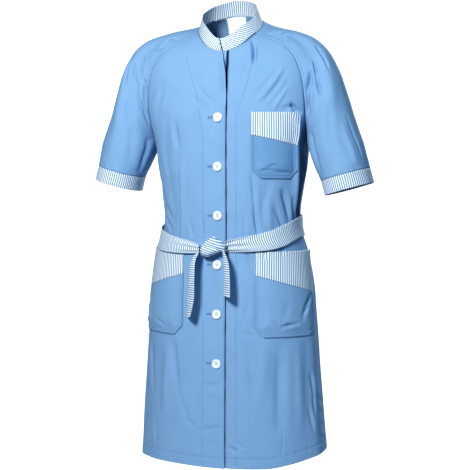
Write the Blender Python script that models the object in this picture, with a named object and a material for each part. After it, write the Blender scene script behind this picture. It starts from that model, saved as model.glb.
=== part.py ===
# A work coat with raglan sleeves, a stand collar, a tie belt and six buttons.
# It keeps the hollow form that it has when it is worn. Metres, +Z up. The front faces -Y,
# the wearer's left is +X, and the origin lies inside the neck, level with the shoulders' tops.
# Side is +1 for the wearer's left and -1 for the wearer's right.

import bmesh
import bpy
import numpy as np

MM = 0.001

CLOTH = 1.2 * MM  # wall of every cloth piece
SEAM_GAP = 0.3 * MM  # between pieces that are sewn together
LAP_GAP = 0.8 * MM  # between the two fronts where they lap
LAY_GAP = 0.6 * MM  # under a piece that lies on a panel
POCKET_GAP = 1.0 * MM  # under the pockets, which are two layers of cloth at their borders

# Levels number the rows of cloth from the neckline down: 7 is the underarm, 17 the hem.
UNDERARM = 7
HEM = 17
HANG_FROM = 13  # level from which the skirt hangs askew
HANG_INNER = 100 * MM  # distance out from the middle at which that starts
HANG_WIDTH = 95 * MM
HANG_RISE = 17 * MM  # of the hem at the left side seam
HANG_DROP = 5 * MM  # of the hem at the right side seam
SEAM_COLUMNS = ("x", "y", "z", "turn", "rise", "under_x", "under_y", "under_z")

COLLAR_HEIGHTS = (29 * MM, 27 * MM, 33 * MM)  # at the front ends, the sides and the back
COLLAR_LEAN = 0.30  # run inwards for each unit of height
COLLAR_LEFT_LEAN = 0.38  # further lean at the wearer's left side
COLLAR_END_SLANT = -9 * MM  # how far the tops of the front ends lie to the wearer's right

BUTTON_RADIUS = 9.3 * MM
BUTTON_THICKNESS = 3.2 * MM
BUTTON_WELL_RADIUS = 5.6 * MM
BUTTON_WELL_DEPTH = 0.8 * MM
BUTTON_HOLE_RADIUS = 0.95 * MM
BUTTON_HOLE_PLACE = 1.6 * MM  # sideways and up from the middle
FIRST_BUTTON_Z = -195 * MM
BUTTON_SPACING = 98 * MM
BUTTON_COUNT = 6

BELT_WIDTH = 40 * MM

LABEL_WIDTH = 41 * MM
LABEL_SHIFT = -8 * MM  # to the wearer's right
LABEL_LEVELS = (0.06, 1.22)  # from just under the collar, 30 mm down

BLUE = (0.13, 0.33, 0.66)
STRIPED = (0.62, 0.72, 0.86)
WHITE = (0.86, 0.87, 0.88)


def table(columns, *rows):
    """The columns of a table by name. Lengths come in mm and angles, named _deg, in degrees."""
    values = np.array(rows, float)
    named = {}
    for place, name in enumerate(columns.split()):
        if name == "level":
            named[name] = values[:, place]
        elif name.endswith("_deg"):
            named[name[:-4]] = np.radians(values[:, place])
        else:
            named[name] = values[:, place] * MM
    return named


# A row of a front runs from the centre line to the raglan seam, or to the side seam from level 7.
# The arms are how far the row keeps its direction at each end; turn and rise aim it at the seam.
FRONT = table(
    "level centre_y centre_z x y z centre_arm edge_arm turn_deg rise_deg lap",
    (0, -93, -60, 61, -55, -20, 34, 26, 64, 25, 2),
    (1, -101, -86, 104, -69, -38, 42, 34, 62, 38, 8),
    (2, -107, -108, 131, -76, -55, 55, 34, 58, 38, 13),
    (3, -112, -132, 150, -80, -81, 68, 33, 52, 30, 16),
    (4, -116, -158, 162, -80, -120, 80, 32, 46, 18, 17),
    (5, -119, -190, 166, -73, -168, 92, 36, 55, 8, 17),
    (6, -120.5, -219, 164, -52, -213, 100, 46, 75, 3, 17),
    (7, -121, -245, 161, -20, -245, 106, 66, 90, 0, 17),
    (8, -121, -285, 158, -17, -285, 106, 70, 90, 0, 17),
    (9, -120.5, -335, 149.5, -15, -335, 98, 72, 90, 0, 17),
    (10, -120, -385, 143, -14, -385, 90, 72, 90, 0, 17),
    (11, -120, -425, 146, -12, -425, 90, 70, 90, 0, 17),
    (12, -121.5, -466, 158, -10, -466, 94, 72, 90, 0, 17),
    (13, -124, -530, 170, -8, -530, 98, 78, 90, 0, 17),
    (14, -127, -615, 177, -6, -615, 100, 80, 90, 0, 17),
    (15, -128.5, -700, 182, -4, -700, 103, 80, 90, 0, 17),
    (16, -129.5, -801, 189, -2, -800, 107, 81, 90, 0, 17),
    (17, -130, -892, 195, 0, -889, 110, 82, 90, 0, 17),
)

# A row of the back runs from the centre of the back to the same seams.
BACK = table(
    "level centre_y centre_z x y z centre_arm edge_arm turn_deg rise_deg",
    (0, 43, 30, 47, 23, 20, 20, 18, -44, -14),
    (1, 57, 3, 92, 45, -11, 38, 26, -54, 10),
    (2, 70, -25, 126, 57, -33, 52, 28, -54, 16),
    (3, 82, -58, 149, 63, -65, 66, 28, -50, 16),
    (4, 92, -95, 162, 64, -108, 78, 30, -46, 10),
    (5, 98, -142, 166, 58, -160, 88, 34, -55, 5),
    (6, 98.5, -194, 164, 34, -208, 96, 45, -75, 2),
    (7, 96, -245, 161, -20, -245, 108, 84, -90, 0),
    (8, 92, -285, 158, -17, -285, 106, 82, -90, 0),
    (9, 86, -335, 149.5, -15, -335, 98, 74, -90, 0),
    (10, 82, -385, 143, -14, -385, 90, 64, -90, 0),
    (11, 85, -425, 146, -12, -425, 90, 62, -90, 0),
    (12, 96, -466, 158, -10, -466, 98, 68, -90, 0),
    (13, 112, -530, 170, -8, -530, 102, 74, -90, 0),
    (14, 122, -615, 177, -6, -615, 102, 72, -90, 0),
    (15, 126, -700, 182, -4, -700, 105, 74, -90, 0),
    (16, 129, -800, 189, -2, -800, 109, 76, -90, 0),
    (17, 131, -888, 195, 0, -889, 112, 78, -90, 0),
)

# A row of a sleeve runs from the front seam over its top to the back seam. From level 7 on it is
# a closed ring that starts and ends under the arm. Lean and raise are how much further out and
# up the wearer's right side stands than the left, split between the two.
SLEEVE = table(
    "level top_x top_y top_z under_x under_y under_z front_arm back_arm top_arm"
    " front_turn_deg front_rise_deg back_turn_deg back_rise_deg top_rise_deg lean raise",
    (0, 68, -25, -3, 0, 0, 0, 12, 16, 11, 64, 25, 44, -14, 30, 0, 0),
    (1, 110, -23, -7.5, 0, 0, 0, 19, 24, 20, 64, 41, 55, 15, 10, 1, 1.5),
    (2, 149, -24, -17, 0, 0, 0, 23, 30, 26, 52, 46, 45, 25, 3, 3, 1),
    (3, 182.5, -27, -31, 0, 0, 0, 27, 33, 32, 35, 45, 25, 28, 0, 3.5, 2),
    (4, 210, -30, -57, 0, 0, 0, 35, 40, 40, 8, 35, 0, 26, 0, 3, 3),
    (5, 233, -32, -102, 0, 0, 0, 48, 50, 52, -25, 22, -25, 16, 0, 2, 3),
    (6, 250.5, -33, -158, 0, 0, 0, 66, 66, 68, -60, 8, -60, 6, 0, 0.5, 3),
    (7, 268.5, -34, -214, 161, -20, -245, 82, 84, 82, -90, 0, -90, 0, 0, 0.5, 2),
    (8, 278, -33, -240, 171, -24, -271, 82, 84, 82, -90, 0, -90, 0, 0, 0, 3),
    (9, 283.5, -32, -265, 181, -27, -295, 81, 83, 81, -90, 0, -90, 0, 0, -1, 4),
    (10, 289, -31, -292, 192.5, -30, -319, 80, 82, 80, -90, 0, -90, 0, 0, -2, 4),
    (11, 296.5, -31, -321, 200, -30, -348, 80, 82, 80, -90, 0, -90, 0, 0, -2, 4),
)
CUFF_TOP = 10
CUFF_BOTTOM = 11
CUFF_SEAM_LEVELS = 0.012  # the gap between a sleeve and its cuff, 26 mm being one level

# The largest folds of the body: ridges (height above 0) and troughs, straight from top to bottom.
# Across is the share of the row from the centre line to the seam. Side 0 is the back, where
# across runs from -1 at the wearer's right to 1 at the left.
FOLDS = (
    # side, top level, top across, bottom level, bottom across, height mm, half width
    dict(side=1, top=5.0, top_u=0.86, bottom=10.6, bottom_u=0.78, height=7.0, half=0.09),
    dict(side=1, top=8.6, top_u=0.42, bottom=11.2, bottom_u=0.36, height=-3.0, half=0.05),
    dict(side=1, top=12.4, top_u=0.86, bottom=17.5, bottom_u=0.80, height=4.0, half=0.09),
    dict(side=-1, top=5.0, top_u=0.52, bottom=10.8, bottom_u=0.46, height=-3.0, half=0.06),
    dict(side=-1, top=6.4, top_u=0.80, bottom=10.6, bottom_u=0.72, height=-3.5, half=0.07),
    dict(side=-1, top=13.0, top_u=0.84, bottom=17.5, bottom_u=0.78, height=3.5, half=0.09),
    dict(side=0, top=4.0, top_u=-0.66, bottom=10.4, bottom_u=-0.34, height=4.5, half=0.08),
    dict(side=0, top=4.4, top_u=0.62, bottom=10.6, bottom_u=0.30, height=4.5, half=0.08),
    dict(side=0, top=8.0, top_u=0.02, bottom=11.0, bottom_u=-0.04, height=-4.0, half=0.07),
    dict(side=0, top=11.4, top_u=-0.56, bottom=17.5, bottom_u=-0.66, height=5.5, half=0.10),
    dict(side=0, top=11.4, top_u=-0.16, bottom=17.5, bottom_u=-0.22, height=5.0, half=0.10),
    dict(side=0, top=11.4, top_u=0.24, bottom=17.5, bottom_u=0.26, height=5.5, half=0.10),
    dict(side=0, top=11.4, top_u=0.64, bottom=17.5, bottom_u=0.70, height=5.0, half=0.10),
)
# Folds of the sleeves: across runs from 0 at the front seam over the top (1) to the back seam (2).
SLEEVE_FOLDS = (
    dict(side=1, top=1.2, top_u=0.50, bottom=5.6, bottom_u=0.34, height=-4.0, half=0.16),
    dict(side=1, top=4.0, top_u=0.80, bottom=9.4, bottom_u=0.62, height=-3.0, half=0.14),
    dict(side=1, top=5.0, top_u=1.30, bottom=9.6, bottom_u=1.24, height=-4.0, half=0.16),
    dict(side=-1, top=1.6, top_u=0.46, bottom=6.4, bottom_u=0.36, height=-4.0, half=0.16),
    dict(side=-1, top=4.6, top_u=0.84, bottom=9.4, bottom_u=0.76, height=-3.0, half=0.14),
    dict(side=-1, top=5.0, top_u=1.34, bottom=9.6, bottom_u=1.24, height=-4.0, half=0.16),
)

# Pockets on the fronts: inner and outer are distances round the cloth from the centre line, the
# band is deeper at the outer side, and gape is how far the outer top corner stands off the coat.
CHEST_POCKET = dict(
    inner=68 * MM, outer=166 * MM, top=-185 * MM, bottom=-317 * MM,
    band_inner=45 * MM, band_outer=66 * MM, corner=18 * MM, gape=1.5 * MM,
)
HIP_POCKET = dict(
    inner=75 * MM, outer=214 * MM, top=-463 * MM, bottom=-632 * MM,
    band_inner=46 * MM, band_outer=86 * MM, corner=20 * MM, gape=5 * MM,
)

# The belt round the waist: height of its middle and how far it stands off the cloth, from the
# wearer's right of the knot round the back to its left.
BELT = table(
    "level height stand",
    (0.00, -454, 9.0),
    (0.10, -448, 6.5),
    (0.20, -436, 3.6),
    (0.30, -424, 2.6),
    (0.38, -414, 1.8),
    (0.50, -408, 1.6),
    (0.62, -410, 1.8),
    (0.70, -412, 2.6),
    (0.80, -418, 3.6),
    (0.90, -440, 6.0),
    (1.00, -453, 9.0),
)
BELT_STARTS = (0.068, 0.030)  # share of the way round where it leaves the knot, right and left
# The knot as a roll: middle line, half height and half depth, in mm.
KNOT = (
    (-31, -134.4, -461, 6, 6),
    (-27, -137.4, -458, 13, 9),
    (-15, -139.9, -452, 16, 11.5),
    (-3, -139.9, -447, 15, 11.5),
    (8, -137.4, -450, 12, 9),
    (13, -134.4, -455, 6, 6),
)
# The hanging ends: middle line, width, and how far the front edge swings sideways, in mm.
TAIL_RIGHT = (
    (-33.8, -135.2, -461, 18, 5),
    (-42.5, -143, -481, 34, 14),
    (-44.5, -146, -515, 38, 18),
    (-46.5, -146, -553, 38, 20),
    (-54, -145, -590, 38, 17),
)
TAIL_LEFT = (
    (14.4, -138, -456, 16, 4),
    (21.5, -143, -482, 30, 14),
    (23.5, -146, -515, 37, 19),
    (23.5, -146, -550, 38, 21),
)
# The belt gathers into the knot: its share of the full width there, and where it is full again.
BELT_GATHER = 0.45
BELT_FULL_FROM = 0.13


def smooth(columns, name, at):
    """A column at any level: a cubic through the rows, with slopes set by the rows beside them.

    The seams' columns keep a corner at the underarm, where the raglan seam ends.
    """
    x = columns["level"]
    y = columns[name]
    leaving = arriving = np.gradient(y, x)
    if name in SEAM_COLUMNS:
        above = np.gradient(y[: UNDERARM + 1], x[: UNDERARM + 1])
        below = np.gradient(y[UNDERARM:], x[UNDERARM:])
        leaving = np.concatenate([above[:-1], below])
        arriving = np.concatenate([above, below[1:]])
    row = np.clip(np.searchsorted(x, at, side="right") - 1, 0, len(x) - 2)
    step = x[row + 1] - x[row]
    t = (at - x[row]) / step
    start = y[row] * (1 + 2 * t) * (1 - t) ** 2 + leaving[row] * step * t * (1 - t) ** 2
    end = y[row + 1] * t * t * (3 - 2 * t) + arriving[row + 1] * step * t * t * (t - 1)
    return start + end


def points(columns, names, at):
    """Three columns at some levels, as one point or vector a level."""
    return np.stack([smooth(columns, name, at) for name in names.split()], -1)


def heading(turn, rise):
    """Unit vectors: turn 0 points sideways and 90 degrees to the back; rise is above the horizon."""
    flat = np.cos(rise)
    return np.stack([np.cos(turn) * flat, np.sin(turn) * flat, np.sin(rise)], -1)


def bezier(start, first, second, end, u):
    """Points of cubic curves, one a row: the ends and controls are (rows, 3), u (rows, columns)."""
    u = np.broadcast_to(u, (len(start), np.shape(u)[-1]))[:, :, None]
    v = 1 - u
    ends = start[:, None] * v**3 + end[:, None] * u**3
    return ends + 3 * first[:, None] * v * v * u + 3 * second[:, None] * v * u * u


def seam_heading(columns, at):
    """Where the rows of a front or the back point as they reach their seam."""
    return heading(smooth(columns, "turn", at), smooth(columns, "rise", at))


def half_rows(columns, at, u):
    """Rows from a centre line (u 0) to the seams (u 1), on the wearer's left.

    On a front, negative u runs on past the centre line, by -u of the lap, along the same curve.
    """
    start = points(columns, "x centre_y centre_z", at) * (0, 1, 1)
    end = points(columns, "x y z", at)
    aim = seam_heading(columns, at)
    first = start + smooth(columns, "centre_arm", at)[:, None] * (1, 0, 0)
    second = end - smooth(columns, "edge_arm", at)[:, None] * aim
    u = np.broadcast_to(u, (len(at), len(u)))
    if "lap" in columns:
        lap_u = smooth(columns, "lap", at) / (3 * first[:, 0])
        u = np.where(u < 0, u * lap_u[:, None], u)
    grid = bezier(start, first, second, end - SEAM_GAP / 2 * aim, np.abs(u))
    grid[:, :, 0] *= np.where(u < 0, -1, 1)
    return grid


def normals_of(grid):
    """Unit normals of a grid, by the cross product of its rows and columns."""
    down = np.gradient(grid, axis=0)
    across = np.gradient(grid, axis=1)
    cross = np.cross(down, across)
    return cross / np.maximum(np.linalg.norm(cross, axis=-1, keepdims=True), 1e-12)


def fold_heights(folds, side, at, u):
    """How far the folds raise each point of a grid: a rounded ridge that fades at both ends."""
    total = np.zeros((len(at), len(u)))
    for fold in folds:
        if fold["side"] != side:
            continue
        along = (at - fold["top"]) / (fold["bottom"] - fold["top"])
        fade = np.sin(np.pi * np.clip(along, 0, 1)) ** 0.7
        if fold["bottom"] > HEM:
            fade = np.clip(along * 2.5, 0, 1)
        middle = fold["top_u"] + (fold["bottom_u"] - fold["top_u"]) * along
        apart = (u[None, :] - middle[:, None]) / fold["half"]
        total += fold["height"] * MM * fade[:, None] * np.exp(-(apart**2))
    return total


def hang(grid, at):
    """The skirt hangs askew: its side is higher on the wearer's left and lower on the right."""
    below = np.clip((at - HANG_FROM) / (HEM - HANG_FROM), 0, 1)[:, None] ** 2
    left = np.clip((grid[:, :, 0] - HANG_INNER) / HANG_WIDTH, 0, 1) ** 1.3
    right = np.clip((-grid[:, :, 0] - HANG_INNER) / HANG_WIDTH, 0, 1) ** 1.3
    grid[:, :, 2] += below * (HANG_RISE * left - HANG_DROP * right)
    return grid


def front_rows(side, at, u):
    """A front as a grid, from the edge of its lap (u -1) to its seam (u 1)."""
    grid = half_rows(FRONT, at, u)
    outward = normals_of(grid)
    near = 1 - np.clip((grid[:, :, 0] - 25 * MM) / (35 * MM), 0, 1)
    under = (CLOTH + LAP_GAP) / 2 * near * near * (3 - 2 * near)
    lift = fold_heights(FOLDS, side, at, u) - side * under
    grid = grid + outward * lift[:, :, None]
    return hang(grid * (side, 1, 1), at)


def back_rows(at, u):
    """The back as a grid: u runs from -1 at the wearer's right to 1 at the left."""
    right = half_rows(BACK, at, -u[u < 0]) * (-1, 1, 1)
    left = half_rows(BACK, at, u[u >= 0])
    grid = np.concatenate([right, left], axis=1)
    outward = -normals_of(grid)
    return hang(grid + outward * fold_heights(FOLDS, 0, at, u)[:, :, None], at)


def sleeve_seam(body, name, side, at, toward):
    """The sleeve's start or end at each level, a seam gap away from the panel beside it."""
    above = np.minimum(at, UNDERARM)
    seam = points(body, "x y z", above)
    aim = heading(smooth(SLEEVE, name + "_turn", above), smooth(SLEEVE, name + "_rise", above))
    aim = aim * (1, toward, 1)
    away = aim + seam_heading(body, above) + (0.3, 0, 0)
    away = away / np.linalg.norm(away, axis=-1, keepdims=True)
    ring = points(SLEEVE, "under_x under_y under_z", np.maximum(at, UNDERARM))
    ring[:, 2] -= side * smooth(SLEEVE, "raise", at) * np.clip(at - UNDERARM, 0, 1)
    start = np.where((at > UNDERARM)[:, None], ring, seam)
    reach = np.interp(at, [UNDERARM - 1, UNDERARM, UNDERARM + 1], [0.5, 1.6, 0.5])
    return start + away * (SEAM_GAP * reach)[:, None], aim


def sleeve_rows(side, at, u):
    """A sleeve as a grid: u runs from 0 at the front seam over the top (1) to the back seam (2)."""
    front, front_aim = sleeve_seam(FRONT, "front", side, at, 1)
    back, back_aim = sleeve_seam(BACK, "back", side, at, -1)
    top = points(SLEEVE, "top_x top_y top_z", at)
    top[:, 0] -= side * smooth(SLEEVE, "lean", at)
    top[:, 2] -= side * smooth(SLEEVE, "raise", at)
    top_aim = heading(np.full(len(at), np.pi / 2), smooth(SLEEVE, "top_rise", at))
    top_arm = smooth(SLEEVE, "top_arm", at)[:, None] * top_aim
    front_arm = smooth(SLEEVE, "front_arm", at)[:, None]
    back_arm = smooth(SLEEVE, "back_arm", at)[:, None]
    ahead = bezier(front, front + front_arm * front_aim, top - top_arm, top, u[u < 1])
    behind = bezier(top, top + top_arm, back + back_arm * back_aim, back, u[u >= 1] - 1)
    grid = np.concatenate([ahead, behind], axis=1)
    outward = normals_of(grid)
    grid = grid + outward * fold_heights(SLEEVE_FOLDS, side, at, u)[:, :, None]
    return grid * (side, 1, 1)


def grid_faces(rows, columns, first=0):
    """The quads of a grid whose points are numbered row by row from first."""
    corner = first + np.arange(rows - 1)[:, None] * columns + np.arange(columns - 1)
    quads = np.stack([corner, corner + 1, corner + columns + 1, corner + columns], -1)
    return quads.reshape(-1, 4)


def material(name, colour, roughness):
    made = bpy.data.materials.new(name)
    made.use_nodes = True
    shader = made.node_tree.nodes["Principled BSDF"]
    shader.inputs["Base Color"].default_value = (*colour, 1.0)
    shader.inputs["Roughness"].default_value = roughness
    shader.inputs["Metallic"].default_value = 0.0
    return made


def add_object(name, mesh, finish):
    mesh.materials.append(finish)
    mesh.shade_smooth()
    piece = bpy.data.objects.new(name, mesh)
    bpy.context.scene.collection.objects.link(piece)
    return piece


def add_wall(name, outer, inner, faces, finish):
    """A closed wall from its outer points, its inner points and a rim along the open edges."""
    used, numbered = np.unique(faces, return_inverse=True)
    faces = numbered.reshape(faces.shape)
    count = len(used)
    edges = np.concatenate([faces[:, [k, (k + 1) % 4]] for k in range(4)])
    _, index, times = np.unique(
        np.sort(edges, axis=1), axis=0, return_index=True, return_counts=True
    )
    rim = edges[index[times == 1]]
    sides = np.stack([rim[:, 1], rim[:, 0], rim[:, 0] + count, rim[:, 1] + count], -1)
    everything = np.concatenate([faces, faces[:, ::-1] + count, sides])
    mesh = bpy.data.meshes.new(name)
    mesh.from_pydata(np.concatenate([outer[used], inner[used]]).tolist(), [], everything.tolist())
    return add_object(name, mesh, finish)


def add_grid_wall(name, grid, finish, facing, normals=None, closed_from=None):
    """A wall from a grid of outer points. Facing is 1 where down x across points outwards.

    Rows from closed_from on are rings, whose last point is their first.
    """
    rows, columns = grid.shape[:2]
    if normals is None:
        normals = normals_of(grid) * facing
    faces = grid_faces(rows, columns)
    if closed_from is not None:
        ring = (faces % columns == columns - 1) & (faces // columns >= closed_from)
        faces = np.where(ring, faces - (columns - 1), faces)
    if facing > 0:
        faces = faces[:, ::-1]
    inner = grid - normals * CLOTH
    return add_wall(name, grid.reshape(-1, 3), inner.reshape(-1, 3), faces, finish)


def add_rows_wall(name, rows, at, u, finish, facing, closed_from=None):
    """A wall on a surface that is a function of level and u, with the surface's own normals."""
    step = 1e-3
    down = rows(at + step, u) - rows(at - step, u)
    across = rows(at, u + step) - rows(at, u - step)
    normals = np.cross(down, across) * facing
    if closed_from is not None:
        ring = at >= closed_from
        joined = normals[ring, 0] + normals[ring, -1]
        normals[ring, 0] = joined
        normals[ring, -1] = joined
        closed_from = np.searchsorted(at, closed_from)
    normals /= np.linalg.norm(normals, axis=-1, keepdims=True)
    return add_grid_wall(name, rows(at, u), finish, facing, normals, closed_from)


def spread(*stops):
    """Values from stop to stop: (start, end, steps) for each stretch, joined."""
    parts = [np.linspace(start, end, steps, endpoint=False) for start, end, steps in stops]
    return np.concatenate(parts + [np.array([stops[-1][1]], float)])


UPPER_LEVELS = spread((0, UNDERARM, 11))
BODY_LEVELS = np.concatenate([UPPER_LEVELS[:-1], spread((UNDERARM, 13, 10), (13, HEM, 4))])
FRONT_COLUMNS = spread((-1, 0, 1), (0, 0.6, 6), (0.6, 1, 6))
BACK_COLUMNS = spread((-1, -0.9, 2), (-0.9, 0.9, 18), (0.9, 1, 2))
SLEEVE_COLUMNS = spread((0, 1, 9), (1, 2, 9))


def add_front(side, name, finish):
    def rows(at, u):
        return front_rows(side, at, u)

    return add_rows_wall(name, rows, BODY_LEVELS, FRONT_COLUMNS, finish, side)


def add_back(finish):
    return add_rows_wall("back", back_rows, BODY_LEVELS, BACK_COLUMNS, finish, -1)


def add_sleeve(side, name, finish):
    """Open rows above the underarm, then rings that run down to the cuff."""
    def rows(at, u):
        return sleeve_rows(side, at, u)

    below = spread((UNDERARM, CUFF_TOP - CUFF_SEAM_LEVELS, 4))
    at = np.concatenate([UPPER_LEVELS[:-1], below])
    return add_rows_wall(name, rows, at, SLEEVE_COLUMNS, finish, side, closed_from=UNDERARM)


def add_cuff(side, name, finish):
    def rows(at, u):
        return sleeve_rows(side, at, u)

    at = spread((CUFF_TOP, CUFF_BOTTOM, 2))
    return add_rows_wall(name, rows, at, SLEEVE_COLUMNS, finish, side, closed_from=CUFF_TOP)


def neckline(side, count):
    """The top edge of the cloth on one side, from the centre front to the centre back."""
    top = np.array([0.0, 0.1])
    u = np.linspace(0, 1, 40)
    front = half_rows(FRONT, top, u)[0]
    over = sleeve_rows(side, top, np.linspace(0, 2, 41))[0] * (side, 1, 1)
    back = half_rows(BACK, top, u)[0][::-1]
    line = np.concatenate([front, over, back])
    along = np.concatenate([[0], np.cumsum(np.linalg.norm(np.diff(line, axis=0), axis=1))])
    even = np.linspace(0, along[-1], count)
    line = np.stack([np.interp(even, along, line[:, k]) for k in range(3)], -1)
    return line * (side, 1, 1)


def add_collar(finish):
    """The stand collar: it follows the neckline square to it, and leans in towards the neck."""
    left = neckline(1, 19)
    right = neckline(-1, 19)
    line = np.concatenate([right, left[-2::-1]])
    run = np.gradient(line, axis=0)
    run /= np.linalg.norm(run, axis=1, keepdims=True)
    middle = (right[0] + right[-1]) / 2
    inward = (middle - line) * (1, 1, 0)
    inward /= np.linalg.norm(inward, axis=1, keepdims=True)
    place = np.linspace(-1, 1, len(line))
    lean = COLLAR_LEAN + COLLAR_LEFT_LEAN * np.exp(-(((place - 0.5) / 0.19) ** 2))
    up = inward * lean[:, None] + (0, 0, 1)
    up -= run * np.sum(up * run, axis=1, keepdims=True) * 0.75
    up /= np.linalg.norm(up, axis=1, keepdims=True)
    height = np.interp(1 - np.abs(place), (0, 0.5, 1), COLLAR_HEIGHTS)
    rows = []
    for share in (0.0, 0.34, 0.67, 1.0):
        row = line + up * (height * share + SEAM_GAP)[:, None]
        slant = COLLAR_END_SLANT * share * np.abs(place) ** 6
        row[:, 0] += slant
        row[0, 0] -= 0.5 * SEAM_GAP
        row[-1, 0] += 0.5 * SEAM_GAP
        rows.append(row)
    grid = np.stack(rows)
    return add_grid_wall("collar", grid, finish, 1)


class Panel:
    """A front seen as a map: the point and the outward normal at a distance and a height."""

    def __init__(self, side):
        at = BODY_LEVELS[3:]
        self.side = side
        self.grid = front_rows(side, at, FRONT_COLUMNS)
        self.normals = normals_of(self.grid) * side
        steps = np.linalg.norm(np.diff(self.grid, axis=1), axis=2)
        along = np.concatenate([np.zeros((len(at), 1)), np.cumsum(steps, axis=1)], axis=1)
        self.along = along - along[:, 1:2]

    def look_up(self, values, along, z):
        """Values of the map's grid at one distance from the centre line and several heights."""
        column = np.array([
            [np.interp(along, self.along[row], values[row, :, k]) for k in range(3)]
            for row in range(len(values))
        ])
        heights = np.array([
            np.interp(along, self.along[row], self.grid[row, :, 2]) for row in range(len(values))
        ])
        return np.stack([np.interp(-z, -heights, column[:, k]) for k in range(3)], -1)

    def lay(self, along, z, raise_by):
        """A grid of points above the cloth: along is (columns,), z and raise_by (rows, columns)."""
        laid = np.empty((*z.shape, 3))
        for place, distance in enumerate(along):
            point = self.look_up(self.grid, distance, z[:, place])
            normal = self.look_up(self.normals, distance, z[:, place])
            normal /= np.linalg.norm(normal, axis=1, keepdims=True)
            laid[:, place] = point + normal * raise_by[:, place]
        return laid


def add_pocket(panel, size, name, columns, rows, blue, striped):
    """A patch pocket in two pieces: the striped band, deeper at its outer side, and the body."""
    along = np.linspace(size["inner"], size["outer"], columns)
    share = (along - size["inner"]) / (size["outer"] - size["inner"])
    band = size["top"] - size["band_inner"] - (size["band_outer"] - size["band_inner"]) * share
    from_side = np.minimum(along - size["inner"], size["outer"] - along)
    bottom = size["bottom"] + np.maximum(size["corner"] - from_side, 0)
    top = np.full(columns, size["top"])
    for piece, finish, start, end, count in (
        ("_band", striped, top, band, 4),
        ("", blue, band - SEAM_GAP, bottom, rows),
    ):
        z = start + (end - start) * np.linspace(0, 1, count)[:, None]
        depth = np.clip((top - z) / (2 * size["band_inner"]), 0, 1)
        gape = size["gape"] * (1 - depth) ** 2 * share**2
        grid = panel.lay(along, z, POCKET_GAP + CLOTH + gape[:, :, None])
        add_grid_wall(name + piece, grid, finish, panel.side)


def add_button(panel, number, z, finish):
    """A turned disc with a sunk middle and four holes, square to the cloth that it lies on."""
    origin = panel.look_up(panel.grid, 0.0, np.array([z]))[0]
    normal = panel.look_up(panel.normals, 0.0, np.array([z]))[0]
    normal /= np.linalg.norm(normal)
    profile = (
        (0.0, 0.0),
        (BUTTON_RADIUS * 0.80, 0.0),
        (BUTTON_RADIUS, BUTTON_THICKNESS * 0.35),
        (BUTTON_RADIUS, BUTTON_THICKNESS * 0.65),
        (BUTTON_RADIUS * 0.88, BUTTON_THICKNESS),
        (BUTTON_WELL_RADIUS, BUTTON_THICKNESS),
        (BUTTON_WELL_RADIUS * 0.85, BUTTON_THICKNESS - BUTTON_WELL_DEPTH),
        (0.0, BUTTON_THICKNESS - BUTTON_WELL_DEPTH),
    )
    disc = turned(profile, 14)
    reach = ((0.0, -MM), (BUTTON_HOLE_RADIUS, -MM), (BUTTON_HOLE_RADIUS, 5 * MM), (0.0, 5 * MM))
    holes = []
    for sideways in (-1, 1):
        for up in (-1, 1):
            hole = turned(reach, 5)
            shift = (sideways * BUTTON_HOLE_PLACE, up * BUTTON_HOLE_PLACE, 0)
            bmesh.ops.translate(hole, verts=hole.verts, vec=shift)
            holes.append(hole)
    name = "button_%d" % number
    piece = add_object(name, mesh_from(name, disc), finish)
    for count, hole in enumerate(holes):
        cutter = bpy.data.objects.new("%s_hole_%d" % (name, count), mesh_from("hole", hole))
        cutter.hide_render = True
        cutter.display_type = "WIRE"
        bpy.context.scene.collection.objects.link(cutter)
        cutter.parent = piece
        cut = piece.modifiers.new("hole_%d" % count, "BOOLEAN")
        cut.operation = "DIFFERENCE"
        cut.object = cutter
    piece.rotation_euler = (np.arctan2(-normal[1], normal[2]), 0, 0)
    piece.location = origin + normal * LAY_GAP
    return piece


def turned(profile, sides):
    """A closed turned shape about the z axis from a profile of (radius, height)."""
    made = bmesh.new()
    rings = []
    for radius, height in profile:
        if radius == 0:
            rings.append([made.verts.new((0, 0, height))])
            continue
        angles = np.arange(sides) * 2 * np.pi / sides
        rings.append([made.verts.new((radius * np.cos(a), radius * np.sin(a), height)) for a in angles])
    for low, high in zip(rings, rings[1:]):
        for k in range(sides):
            after = (k + 1) % sides
            if len(low) == 1:
                made.faces.new((low[0], high[after], high[k]))
            elif len(high) == 1:
                made.faces.new((low[k], low[after], high[0]))
            else:
                made.faces.new((low[k], low[after], high[after], high[k]))
    return made


def mesh_from(name, shape):
    mesh = bpy.data.meshes.new(name)
    shape.to_mesh(mesh)
    shape.free()
    return mesh


def waist_point(side, share, z):
    """A point of the cloth at a height: share runs from 0 at the centre front to 1 at the back."""
    levels = np.linspace(UNDERARM, HEM, 200)
    level = np.interp(-z, -smooth(FRONT, "z", levels), levels)
    at = level + np.array([-0.01, 0.0, 0.01])
    if share < 0.5:
        return front_rows(side, at, np.array([0.0, 2 * share, 1.0]))[1, 1]
    return back_rows(at, np.array([-1.0, side * (2 - 2 * share), 1.0]))[1, 1]


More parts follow.
